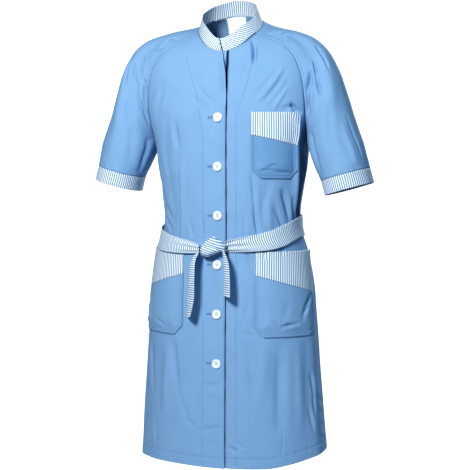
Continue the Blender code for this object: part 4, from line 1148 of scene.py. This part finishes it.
pocketPanels = {}
pocketLay = dict(stitch=4.5, lift=0.9, gap=0.5, puff=1.2, puffReach=17, quiet=9)


def buildPocket(name, size):
    # band and body: front point + normal * (lift + gape + puff + creases + stitched lines), where
    # the gape fades down from the top's outer corner and the puff is 1 - exp(-(inside/reach)^2)
    front = frontPanels[size["side"]]
    width = size["outer"] - size["inner"]
    along = np.linspace(size["inner"], size["outer"], 70)
    share = (along - size["inner"]) / width
    band = size["top"] - size["bandInner"] - (size["bandOuter"] - size["bandInner"]) * share
    fromSide = np.minimum(along - size["inner"], size["outer"] - along)
    bottom = size["bottom"] + np.maximum(size["corner"] - fromSide, 0)
    top = np.full(len(along), size["top"])
    for kind, start, end, count in (("_band", top, band, 30), ("", band - 0.3, bottom, 60)):
        b = start + (end - start) * np.linspace(0, 1, count)[:, None]
        a = np.broadcast_to(along, b.shape)
        depth = np.clip((size["top"] - b) / (2 * size["bandInner"]), 0, 1)
        gape = size["gape"] * (1 - depth) ** 2 * share**2
        fromBottom = np.minimum(b - bottom, 60)
        inside = np.minimum(np.minimum(a - size["inner"], size["outer"] - a), fromBottom)
        down = np.clip((size["top"] - b) / (size["top"] - size["bottom"]), 0, 1)
        domed = 1 - bell(np.maximum(inside - 4, 0), pocketLay["puffReach"])
        puff = (pocketLay["puff"] + size["puff"] * down**1.5) * domed
        raised = (pocketLay["lift"] + cloth["thickness"] / mm + pocketLay["gap"] + gape + puff) * mm
        point, normal = front.at(a, b)
        ground = creaseHeights(pocketCreases[name], a, b)
        fromStitch = inside - pocketLay["stitch"]
        seamLine = groove(fromStitch, 0.5, 1.0) + pucker(fromStitch, a + b, 3, 5, 0.3)
        seamLine += step(-fromStitch, 0.3)
        if kind:
            seamLine = seamLine + groove(b - end, 0.3, 1.0) + groove(start - b - 3, 0.2, 0.9)
        else:
            seamLine = seamLine + groove(start - b, 0.4, 1.2) + pucker(start - b, a, 5, 6, 0.3)
        quiet = 1 - bell(np.maximum(inside, 0), pocketLay["quiet"])
        grid = point + normal * raised[:, :, None]
        panel = Panel(grid, a, b, size["side"])
        pocketPanels[name + kind] = panel.raiseBy(ground * quiet + seamLine)


for name, size in pocketSizes.items():
    buildPocket(name, size)
    # the chest pocket's body takes the deeper blue of painted shade
    bodyFinish = pocketShadeCloth if name == "chest_pocket" else blueCloth
    bandHeight = (size["bandInner"] + size["bandOuter"]) / 2 * mm
    bodyHeight = size["flat"][1] - bandHeight
    for kind, finish, slotName, tall in (
        ("_band", stripedCloth, "striped_poplin", bandHeight),
        ("", bodyFinish, "blue_poplin", bodyHeight),
    ):
        piece = shell(name + kind + "_cloth", pocketPanels[name + kind], finish, [name + kind])
print("pockets made")

# The belt: its level runs round the waist from the knot's right side (0) to its left (1), height is
# its middle's and stand is how far it stands off the coat.
beltTable = table(
    "level height stand",
    (0.00, -454, 9.0),
    (0.10, -448, 6.5),
    (0.20, -436, 3.6),
    (0.30, -424, 2.6),
    (0.38, -414, 1.8),
    (0.50, -408, 1.6),
    (0.62, -410, 1.8),
    (0.70, -412, 2.6),
    (0.80, -418, 3.6),
    (0.90, -440, 6.0),
    (1.00, -453, 9.0),
)
belt = dict(
    width=40.0,
    gather=0.45, fullFrom=0.13,  # share of the width at the knot, and from where it is full
    starts=(0.068, 0.030),  # where it leaves the knot, as shares of the way round to the back
    count=360, rows=15,
    ringRows=300, ringColumns=121,  # of the half coat that it is laid round
)


def halfRing(side, levels, count):
    # rows of one side of the coat: front centre, side seam, back centre
    across = np.linspace(0, 1, count)
    front = frontRows(side, levels, across)
    if side > 0:
        back = backRows(levels, across)[:, -2::-1]
    else:
        back = backRows(levels, -across[::-1])[:, 1:]
    return np.concatenate([front, back], axis=1)


def waistRing(along, z):
    # points of the coat at heights z, read from the ring of its right half and that of its left
    levels = np.linspace(underarm, hem, belt["ringRows"])
    lastColumn = 2 * (belt["ringColumns"] - 1)
    start = np.where(along < 0.5, belt["starts"][0], belt["starts"][1])
    share = start + (1 - start) * 2 * np.minimum(along, 1 - along)
    row = np.interp(-z, -smooth(frontTable, "z", levels), np.arange(float(belt["ringRows"])))
    found = []
    for side in (-1, 1):
        ring = halfRing(side, levels, belt["ringColumns"])
        coat = Panel(ring, ring[:, :, 0], ring[:, :, 2], 1)
        found.append(coat.read(ring, row, share * lastColumn))
    return np.where((along < 0.5)[:, None], found[0], found[1])


def buildBelt():
    # top (1-s)(1-2s) + 4 middle s(1-s) + low s(2s-1), three rings of the waist over the share s of
    # the width, stood off the coat; near the knot the width gathers into pleats
    along = np.linspace(0, 1, belt["count"])
    stand, height = smooth(beltTable, "stand", along), smooth(beltTable, "height", along)
    # both ends dip in to where the knot holds them
    stand = stand - (4.5 * bell(1 - along, 0.05) + 2.5 * bell(along, 0.04)) * mm
    near = np.minimum(np.minimum(along, 1 - along) / belt["fullFrom"], 1.0)
    gather = belt["gather"] + (1 - belt["gather"]) * near**0.55
    # on the wearer's right it sags towards the knot, at its upper edge most
    sag = np.clip(1 - along / 0.16, 0, 1) ** 2
    rings = []
    for part, drop in ((0.5, 5.0), (0.0, 3.0), (-0.5, 1.0)):
        rings.append(waistRing(along, height + (part * belt["width"] * gather - drop * sag) * mm))
    share = np.linspace(0, 1, belt["rows"])[:, None, None]
    top, middle, low = rings
    grid = top * (1 - share) * (1 - 2 * share) + 4 * middle * share * (1 - share)
    grid = grid + low * share * (2 * share - 1)
    normals = -normalsOf(grid)
    grid = grid + normals * (1, 1, 0.3) * (stand + cloth["wall"])[None, :, None]
    a = arcFrom(grid, belt["count"] // 2)
    across = np.broadcast_to((share[:, :, 0] - 0.5) * belt["width"], a.shape)
    pleats = bell(near, 0.34) * np.where(along > 0.5, 3.6, 2.4) * mm
    pleats = pleats * np.cos(2 * np.pi * (share[:, :, 0] * 2.5 + 0.15 + along * 2))
    crush = 0.7 * mm * ripple(a + 0.5 * across, 2, 47, 71) * np.sin(np.pi * share[:, :, 0])
    fromEdge = belt["width"] / 2 - np.abs(across)
    seam = groove(fromEdge - 3, 0.25, 0.9) + pucker(fromEdge - 3, a, 4, 4, 0.2)
    return Panel(grid, a, across, -1).raiseBy(pleats + crush + seam)


beltPanel = buildBelt()
# On the wearer's right the stripes slant, because the belt is pulled askew there.
skew = np.interp(np.linspace(0, 1, belt["count"]), (0, 0.12, 0.3, 1), (0.75, 0.6, 0.12, 0.12))
beltUv = np.stack([beltPanel.a + skew * beltPanel.b, beltPanel.b], -1) * mm
piece = shell("belt_cloth", beltPanel, stripedCloth, ["belt"], beltUv, doubled)


def alongStops(stops, count):
    # each column of the stops smoothed in their order and read at even steps, in metres
    stops = np.array(stops, float) * mm
    named = {"level": np.arange(len(stops), dtype=float)}
    for place in range(stops.shape[1]):
        named[place] = stops[:, place]
    at = np.linspace(0, len(stops) - 1, count)
    return np.stack([smooth(named, place, at) for place in range(stops.shape[1])], -1)


# Each stop of a hanging end reads x, y, z of its middle line, its width, and how far the front edge
# swings sideways.
tailBend = 1.1  # radians that an end turns from edge to edge
tailStops = {
    "belt_tail_right": (
        (-36.5, -135.2, -461, 18, 6),
        (-47, -143, -481, 34, 15),
        (-50, -146, -515, 38, 19),
        (-51, -146, -553, 38, 21),
        (-57, -145, -590, 38, 18),
    ),
    "belt_tail_left": (
        (14.4, -138, -456, 16, 4),
        (21.5, -143, -482, 30, 14),
        (23.5, -146, -515, 37, 19),
        (23.5, -146, -550, 38, 21),
    ),
}


tailGrid = dict(rows=25, columns=90)


def buildTail(stops, seed):
    # a strip on edge about its middle line, curved in section: its way is (sin t, -cos t, 0) with
    # t = swing + bend * share, added up across the width; a long wave runs down it
    line = alongStops(stops, tailGrid["columns"])
    width, swing = line[:, 3], np.arcsin(line[:, 4] / line[:, 3])
    share = np.linspace(-0.5, 0.5, tailGrid["rows"])[:, None]
    turn = swing + tailBend * share
    way = np.stack([np.sin(turn), -np.cos(turn), 0 * turn], -1)
    across = np.cumsum(way, axis=0) / (tailGrid["rows"] - 1)
    across -= across.mean(axis=0, keepdims=True)
    grid = line[:, :3] + across * width[:, None]
    a = np.broadcast_to(lengthAlong(line[:, :3]) / mm, grid.shape[:2])
    b = share * width / mm
    fromEdge = width / mm / 2 - np.abs(b)
    height = 0.8 * mm * np.sin(2 * np.pi * share + a / 26 + seed) + groove(fromEdge - 3, 0.2, 0.9)
    height += pucker(fromEdge - 3, a, seed, 4, 0.15)
    return Panel(grid, a, b, -1).raiseBy(height)


for seed, (name, stops) in enumerate(tailStops.items()):
    panel = buildTail(stops, seed)
    piece = shell(name + "_cloth", panel, stripedCloth, [name], thickness=doubled)

# The knot's sections, from the wearer's right to the left: way is x, top and bottom their heights.
knotTable = table(
    "level way top bottom",
    (0, -31, -454, -465),
    (1, -26, -449, -469),
    (2, -20, -443, -471),
    (3, -13, -438, -471),
    (4, -4, -433, -467),
    (5, 5, -438, -463),
    (6, 14, -445, -460),
    (7, 21, -453, -459),
)
knot = dict(behind=-134.4, forward=5.5, deep=6.0, count=90, pleat=0.20, lowPleat=0.16)


def buildKnot():
    # rings (x, yc - deep sin t, mid + half c) with c the cosine of t flattened to |cos t|^0.7, and
    # two pleats pressed in that run aslant along it
    at = np.linspace(0, 7, knot["count"])
    along = (at / 7)[:, None]
    x, top, bottom = (smooth(knotTable, name, at)[:, None] for name in ("way", "top", "bottom"))
    angle = np.linspace(0, 2 * np.pi, 97)[None, :]
    arch = np.sin(np.pi * along) ** 0.6
    fold = 1 - knot["pleat"] * bell(angle - 1.0 - 1.1 * along, 0.16) * arch
    fold -= knot["lowPleat"] * bell(angle - 2.3 - 0.8 * along, 0.14) * arch
    middleY = (knot["behind"] - knot["forward"] * arch) * mm
    deep = (knot["deep"] + knot["forward"] * arch) * mm
    cos, sin = np.cos(angle), np.sin(angle)
    soft = np.sign(cos) * np.abs(cos) ** 0.7
    grid = np.stack([
        x + 0 * angle + 1.5 * mm * sin * (1 - 2 * along),
        middleY - deep * sin * fold,
        (top + bottom) / 2 + (top - bottom) / 2 * soft * (0.75 + 0.25 * fold),
    ], -1)
    a = np.broadcast_to(angle * 12, grid.shape[:2])
    b = np.broadcast_to(along * 48, grid.shape[:2])
    return Panel(grid, a, b, 1, 0)


knotPanel = buildKnot()
# Its stripes lie across the front, sinking a little towards the wearer's left.
knotUv = np.stack([knotPanel.grid[:, :, 2] + 0.32 * knotPanel.grid[:, :, 0], knotPanel.b * mm], -1)
piece = shell("belt_knot_cloth", knotPanel, stripedCloth, ["belt_knot"], knotUv, doubled)
print("belt made")

# The buttons: first is the upper one's height, and turns says how far each is turned on its thread.
buttonSizes = dict(
    radius=9.3, thickness=3.2, round=0.9, well=5.6, wellDepth=0.9, hole=0.95, holePlace=1.6,
    first=-195.0, spacing=98.0, count=6, lay=0.6, sides=64, turnsDeg=(7, -12, 4, 16, -6, 10),
)


def turnedDisc(profile, sides):
    # (r cos t, r sin t, z) for each radius r and height z of the profile and each angle t
    profile = np.array(profile)
    angle = np.arange(sides + 1) * 2 * np.pi / sides
    return np.stack([
        profile[:, :1] * np.cos(angle), profile[:, :1] * np.sin(angle),
        np.broadcast_to(profile[:, 1:], (len(profile), sides + 1)),
    ], -1)


def buttonMesh(name):
    # a flat back, a rim rounded as (cos t, sin t) and a well sunk as a quarter turn, turned about z
    r, t, w, d = (buttonSizes[k] for k in ("radius", "thickness", "well", "wellDepth"))
    flat, bulge = r - buttonSizes["round"], buttonSizes["round"]
    half, floorAt = t / 2, t - d * 1.02
    rim = [(flat + bulge * math.cos(v), half + half * math.sin(v)) for v in np.linspace(-1.5, 1.5, 13)]
    dip = [(w - 0.8 * (1 - math.cos(v)), t - d * math.sin(v)) for v in np.linspace(0, math.pi / 2, 6)]
    profile = [(0, 0), (r * 0.5, 0), *rim, (w + 0.7, t), *dip, (w * 0.4, floorAt), (0, floorAt)]
    grid = turnedDisc(np.array(profile) * mm, buttonSizes["sides"])
    rows, columns = grid.shape[:2]
    faces = gridFaces(rows, columns)
    faces = np.where(faces % columns == columns - 1, faces - (columns - 1), faces)
    mesh = bpy.data.meshes.new(name)
    mesh.from_pydata(grid.reshape(-1, 3), [], faces)
    mesh.validate()
    return mesh


def cleanMesh(mesh):
    # doubles merged, loose points removed and faces turned outwards
    made = bmesh.new()
    made.from_mesh(mesh)
    bmesh.ops.remove_doubles(made, verts=made.verts, dist=1e-6)
    bmesh.ops.delete(made, geom=[v for v in made.verts if not v.link_faces], context="VERTS")
    bmesh.ops.recalc_face_normals(made, faces=made.faces)
    made.to_mesh(mesh)
    made.free()
    return mesh


def buttonWithHoles():
    # the disc less four round holes; they are cut once, and each button takes a copy of the mesh
    disc = linked("button_blank", cleanMesh(buttonMesh("button_blank")))
    hole = buttonSizes["hole"]
    cutters = []
    for x in (-1, 1):
        for y in (-1, 1):
            tube = turnedDisc(np.array([(0, -1), (hole, -1), (hole, 5), (0, 5)]) * mm, 16)
            tube = tube + np.array([x, y, 0]) * buttonSizes["holePlace"] * mm
            faces = gridFaces(*tube.shape[:2])
            mesh = bpy.data.meshes.new("hole")
            mesh.from_pydata(tube.reshape(-1, 3), [], faces)
            cutter = linked("hole", cleanMesh(mesh))
            cut = disc.modifiers.new("hole", "BOOLEAN")
            cut.operation, cut.object = "DIFFERENCE", cutter
            cutters.append(cutter)
    bpy.context.view_layer.update()
    graph = bpy.context.evaluated_depsgraph_get()
    mesh = bpy.data.meshes.new_from_object(disc.evaluated_get(graph))
    for extra in [disc, *cutters]:
        bpy.data.objects.remove(extra, do_unlink=True)
    return mesh


buttonMaster = buttonWithHoles()
buttonPlaces = []
for number in range(buttonSizes["count"]):
    z = buttonSizes["first"] - buttonSizes["spacing"] * number
    point, normal = frontPanels[-1].at(np.array([0.0]), np.array([z]))
    axis = unit(normal[0] * (0, 1, 1))
    across = np.array([1.0, 0.0, 0.0])
    upward = np.cross(axis, across)
    turnBy = math.radians(buttonSizes["turnsDeg"][number])
    right = across * math.cos(turnBy) + upward * math.sin(turnBy)
    above = np.cross(axis, right)
    place = point[0] + axis * buttonSizes["lay"] * mm
    buttonPlaces.append((place, right, above, axis))
    mesh = buttonMaster.copy()
    flat = np.empty(len(mesh.vertices) * 3, np.float32)
    mesh.vertices.foreach_get("co", flat)
    flat = flat.reshape(-1, 3) @ np.stack([right, above, axis]) + place
    mesh.vertices.foreach_set("co", flat.ravel())
    mesh.materials.clear()
    mesh.materials.append(buttonResin)
    mesh.shade_smooth()
    mesh.set_sharp_from_angle(angle=math.radians(50))
    piece = linked("button_%d_resin" % (number + 1), mesh)
    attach(piece, "root")
    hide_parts("button_%d" % (number + 1))
print("buttons made")

# The label is blank. It hangs inside the back, a gap away from it, and curls off it lower down.
labelSizes = dict(width=41.0, shift=-8.0, levels=(0.06, 1.22), gap=0.5, curl=0.8, rows=24, columns=30)


def buildLabel():
    # rows of the back moved inwards, read at even places across, plus curl (share of the way)^3
    at = np.linspace(*labelSizes["levels"], labelSizes["rows"])
    grid = backRows(at, backColumns)
    outward = -normalsOf(grid)
    inside = grid - outward * (cloth["wall"] + labelSizes["gap"] * mm)
    share = np.linspace(-0.5, 0.5, labelSizes["columns"])
    across = (share * labelSizes["width"] + labelSizes["shift"]) * mm
    rows = [np.stack([np.interp(across, row[:, 0], row[:, k]) for k in range(3)], -1) for row in inside]
    grid = np.array(rows)
    a = np.broadcast_to(across / mm, grid.shape[:2])
    b = grid[:, :, 2] / mm
    down = np.linspace(0, 1, labelSizes["rows"])[:, None]
    curl = labelSizes["curl"] * mm * down**3 * (1 + 0.4 * np.sin(a / 9))
    return Panel(grid, a, b, 1).raiseBy(curl + 0 * a)


labelPanel = buildLabel()
satin = 0.4 * mm  # the label's thickness
piece = shell("neck_label_satin", labelPanel, labelSatin, ["neck_label"], thickness=satin)

# The sewing: stitches, buttonholes and button threads, those of a piece joined into one mesh.
stitchSizes = dict(length=2.6, gap=0.8, radius=0.3, lift=0.14)


def threads(name, start, end, normal, radius, finish):
    # each thread is a stretched octahedron from start to end: two tips and a ring of four
    run = unit(end - start)
    side = unit(np.cross(run, normal))
    middle = (start + end) / 2
    ring = [side, normal * 0.8, -side, -normal * 0.8]
    points = np.stack([start, end, *[middle + way * radius for way in ring]], 1)
    first = [(0, 3, 2), (0, 4, 3), (0, 5, 4), (0, 2, 5)]
    second = [(1, 2, 3), (1, 3, 4), (1, 4, 5), (1, 5, 2)]
    pattern = np.array(first + second)
    faces = pattern[None] + 6 * np.arange(len(start))[:, None, None]
    piece = meshObject(name, points.reshape(-1, 3), faces.reshape(-1, 3), finish)
    return piece


def stitchLine(panel, a, b):
    # stitches along a line of cloth distances: starts, ends and normals
    a, b = np.asarray(a, float), np.asarray(b, float)
    a, b = np.broadcast_arrays(a, b)
    along = np.concatenate([[0], np.cumsum(np.hypot(np.diff(a), np.diff(b)))])
    pitch = stitchSizes["length"] + stitchSizes["gap"]
    start = np.arange(0, along[-1] - stitchSizes["length"], pitch)
    found = []
    for place in (start, start + stitchSizes["length"]):
        point, normal = panel.at(np.interp(place, along, a), np.interp(place, along, b))
        found.append(point + normal * stitchSizes["lift"] * mm)
    return found[0], found[1], normal


def sew(name, lines, finish):
    # the threads of several stitch lines as one mesh
    start, end, normal = (np.concatenate(parts) for parts in zip(*lines))
    return threads(name, start, end, normal, stitchSizes["radius"] * mm, finish)


def hemHeight(panel, a):
    # the height of the hem's stitched line at cloth distances a: the edge's height plus the fold
    return np.interp(a, panel.a[-1], panel.b[-1]) + frontSizes["hemFold"]


# Where the lines of stitches run, in the panels' cloth distances; the first two by side.
sewn = dict(
    facing={-1: (-70, -886), 1: (-60, -886)},
    hemFrom={-1: -13, 1: 2},
    edge=(-170, -885), edgePlace=-17,  # the upper front's edge lies that far past the centre line
    pocket=(2.0, 5.5),  # two rows round a pocket, in from its edge
    cuff=(-3.0, -28.0), sleeve=(10, 300), fromSeam=4.5,
    collar=(3.0, 24.0), collarReach=165, beltInset=3, beltShort=70,
)
for side, name in ((-1, "front_right"), (1, "front_left")):
    panel = frontPanels[side]
    down = np.linspace(*sewn["facing"][side], 160)
    lines = [stitchLine(panel, facingLine(side, down), down)]
    hemLine = np.linspace(sewn["hemFrom"][side], panel.a[-1].max() - 3, 60)
    lines.append(stitchLine(panel, hemLine, hemHeight(panel, hemLine)))
    if side < 0:
        place = sewn["edgePlace"] + frontSizes["edgeStitch"]
        lines.append(stitchLine(panel, place, np.linspace(*sewn["edge"], 100)))
    sew(name + "_stitching", lines, blueThread)
hemBack = np.linspace(backPanel.a[-1].min() + 3, backPanel.a[-1].max() - 3, 120)
lines = [stitchLine(backPanel, hemBack, hemHeight(backPanel, hemBack))]
sew("back_stitching", lines, blueThread)
for name, size in pocketSizes.items():
    lines = []
    for inset in sewn["pocket"]:
        low, high, bottom = size["inner"] + inset, size["outer"] - inset, size["bottom"] + inset
        cut = size["corner"] - 0.4 * inset
        top = size["top"] - size["bandInner"] - 3
        topOuter = size["top"] - size["bandOuter"] - 3
        a = np.array([low, low, low + cut, high - cut, high, high])
        b = np.array([top, bottom + cut, bottom, bottom, bottom + cut, topOuter])
        lines.append(stitchLine(pocketPanels[name], a, b))
    sew(name + "_stitching", lines, blueThread)
    band = pocketPanels[name + "_band"]
    lines = []
    for inset in sewn["pocket"]:
        for edge, depth in ((size["inner"] + inset, "bandInner"), (size["outer"] - inset, "bandOuter")):
            down = np.linspace(size["top"] - 2, size["top"] - size[depth] + 3, 12)
            lines.append(stitchLine(band, edge, down))
    lines.append(stitchLine(band, np.linspace(size["inner"] + 3, size["outer"] - 3, 12), size["top"] - 3))
    sew(name + "_band_stitching", lines, whiteThread)
for side, name in ((-1, "right"), (1, "left")):
    panel = cuffPanels[side]
    around = np.linspace(panel.a[10].min() + 1, panel.a[10].max() - 1, 100)
    lines = [stitchLine(panel, around, height) for height in sewn["cuff"]]
    sew("cuff_" + name + "_stitching", lines, whiteThread)
    panel = sleevePanels[side]
    down = -np.linspace(*sewn["sleeve"], 120)
    row, _ = panel.find(np.zeros(120), down)
    index = np.clip(row.astype(int), 0, len(panel.a) - 1)
    lines = [stitchLine(panel, panel.a[index, 0] + sewn["fromSeam"], down)]
    lines.append(stitchLine(panel, panel.a[index, -1] - sewn["fromSeam"], down))
    sew("sleeve_" + name + "_stitching", lines, blueThread)
around = np.linspace(-sewn["collarReach"], sewn["collarReach"], 120)
lines = [stitchLine(collarPanel, around, height) for height in sewn["collar"]]
sew("collar_stitching", lines, whiteThread)
half = belt["width"] / 2 - sewn["beltInset"]
reach = beltPanel.a[0].max() - sewn["beltShort"]
lines = [stitchLine(beltPanel, np.linspace(-reach, reach, 200), level) for level in (-half, half)]
sew("belt_stitching", lines, whiteThread)

holeSizes = dict(
    inner=2.5, length=20.0, gap=0.45, bite=1.5, pitch=0.55,  # gap is half the slit's width
    barPitch=0.45, barHalf=2.1, lift=0.15, barLift=0.2, radius=0.34,
)


def buttonholes():
    # satin stitches square to a slit, closely set above and below it, with a bar at its outer end
    starts, ends, normals = [], [], []
    place = np.arange(holeSizes["inner"], holeSizes["length"], holeSizes["pitch"])
    for number in range(buttonSizes["count"]):
        z = buttonSizes["first"] - buttonSizes["spacing"] * number
        for way in (-1, 1):
            start = frontPanels[-1].at(place, z + way * holeSizes["gap"])
            end = frontPanels[-1].at(place, z + way * (holeSizes["gap"] + holeSizes["bite"]))
            starts.append(start[0] + start[1] * holeSizes["lift"] * mm)
            ends.append(end[0] + end[1] * holeSizes["lift"] * mm)
            normals.append(start[1])
        bar = np.full(3, holeSizes["length"]) + np.arange(3) * holeSizes["barPitch"]
        start = frontPanels[-1].at(bar, z - holeSizes["barHalf"])
        end = frontPanels[-1].at(bar, z + holeSizes["barHalf"])
        starts.append(start[0] + start[1] * holeSizes["barLift"] * mm)
        ends.append(end[0] + end[1] * holeSizes["barLift"] * mm)
        normals.append(start[1])
    return threads(
        "buttonhole_stitching", np.concatenate(starts), np.concatenate(ends), np.concatenate(normals),
        holeSizes["radius"] * mm, twist,
    )


def buttonThreads():
    # three threads side by side across each pair of holes, lying in the well
    starts, ends, normals = [], [], []
    hole = buttonSizes["holePlace"] * mm
    top = (buttonSizes["thickness"] - buttonSizes["wellDepth"] + 0.25) * mm
    for place, right, above, axis in buttonPlaces:
        for row in (-1, 1):
            for shift in (-0.35, 0.0, 0.35):
                base = place + above * (row * hole + shift * mm) + axis * top
                starts.append(base - right * hole)
                ends.append(base + right * hole)
                normals.append(axis)
    return threads(
        "button_threads", np.array(starts), np.array(ends), np.array(normals),
        stitchSizes["radius"] * mm, whiteThread,
    )


buttonholes()
buttonThreads()
print("sewing made")

# The studio: powers in watts, sizes and places in metres; the sky behind shows white.
studio = dict(
    floorHeight=-1.26, floorRadius=1.12, floorSides=128, floor="#E9EAEC",
    keyPower=37.5, keySize=0.42, keyAt=(-0.24, -2.0, 0.60), keyColour=(1.0, 0.985, 0.965),
    fillPower=8.5, fillSize=1.1, fillAt=(1.9, -1.1, 0.7), fillColour=(0.74, 0.90, 1.0),
    backPower=56.0, backSize=1.4, backAt=(0.5, 2.6, 0.7), backColour=(1.0, 1.0, 1.0),
    aim=(0.0, 0.0, -0.35), ambient=(0.05, 0.50, 0.85), ambientStrength=0.13,
)
angle = np.linspace(0, 2 * np.pi, studio["floorSides"] + 1)[:-1]
disc = np.stack([np.cos(angle), np.sin(angle), 0 * angle], -1) * studio["floorRadius"]
floorMesh = bpy.data.meshes.new("floor")
floorMesh.from_pydata(disc + (0, 0, studio["floorHeight"]), [], [list(range(studio["floorSides"]))])
# matt studio paint, nearly white
floorPaint = plainFinish("pale_studio_floor", studio["floor"], 0.9, 0.2)
floorMesh.materials.append(floorPaint)
floor = linked("floor", floorMesh)


def aimed(obj, place, target):
    # turns the object's -Z at the target, with +Y up
    back = unit(np.array(place, float) - np.array(target, float))
    right = unit(np.cross((0.0, 0.0, 1.0), back))
    up = np.cross(back, right)
    matrix = np.eye(4)
    matrix[:3, :3] = np.stack([right, up, back], 1)
    matrix[:3, 3] = place
    obj.matrix_world = Matrix(matrix.tolist())


def softLight(name):
    # a square light with the power, size, place and colour that the studio gives it
    light = bpy.data.lights.new(name, "AREA")
    light.energy, light.size = studio[name + "Power"], studio[name + "Size"]
    light.color = studio[name + "Colour"]
    aimed(linked(name, light), studio[name + "At"], studio["aim"])


softLight("key")
softLight("fill")
softLight("back")

world = bpy.data.worlds.new("studio")
bpy.context.scene.world = world
world.use_nodes = True
world.node_tree.nodes.clear()
glow = addNode(
    world, "ShaderNodeBackground", {0: (*studio["ambient"], 1.0), 1: studio["ambientStrength"]}
)
white = addNode(world, "ShaderNodeBackground", {0: (1.0, 1.0, 1.0, 1.0), 1: 1.0})
seen = addNode(world, "ShaderNodeLightPath").outputs["Is Camera Ray"]
sky = addNode(world, "ShaderNodeMixShader", {0: seen, 1: glow.outputs[0], 2: white.outputs[0]})
addNode(world, "ShaderNodeOutputWorld", {0: sky.outputs[0]})
bpy.context.scene.view_settings.view_transform = "Standard"
bpy.context.scene.view_settings.look = "High Contrast"

# The photo's frame is 470 by 470 pixels; the camera stands level with image row 175.
photo = dict(
    size=470, focal=1095.0, centreX=234.5, eyeRow=175.0,  # pixels
    distance=2.3, eyeHeight=-0.31,  # metres, the height that the eye row shows
    turnDeg=16.0, sensor=36.0,
)
turned = math.radians(photo["turnDeg"])
back = np.array([math.sin(turned), -math.cos(turned), 0.0])
camera = linked("camera", bpy.data.cameras.new("camera"))
camera.data.sensor_width = photo["sensor"]
camera.data.lens = photo["focal"] / photo["size"] * photo["sensor"]
camera.data.shift_x = (photo["size"] / 2 - photo["centreX"]) / photo["size"]
camera.data.shift_y = -(photo["size"] / 2 - photo["eyeRow"]) / photo["size"]
centre = np.array([0.0, 0.0, photo["eyeHeight"]])
aimed(camera, centre + back * photo["distance"], centre)
bpy.context.scene.camera = camera
print("light and camera set")
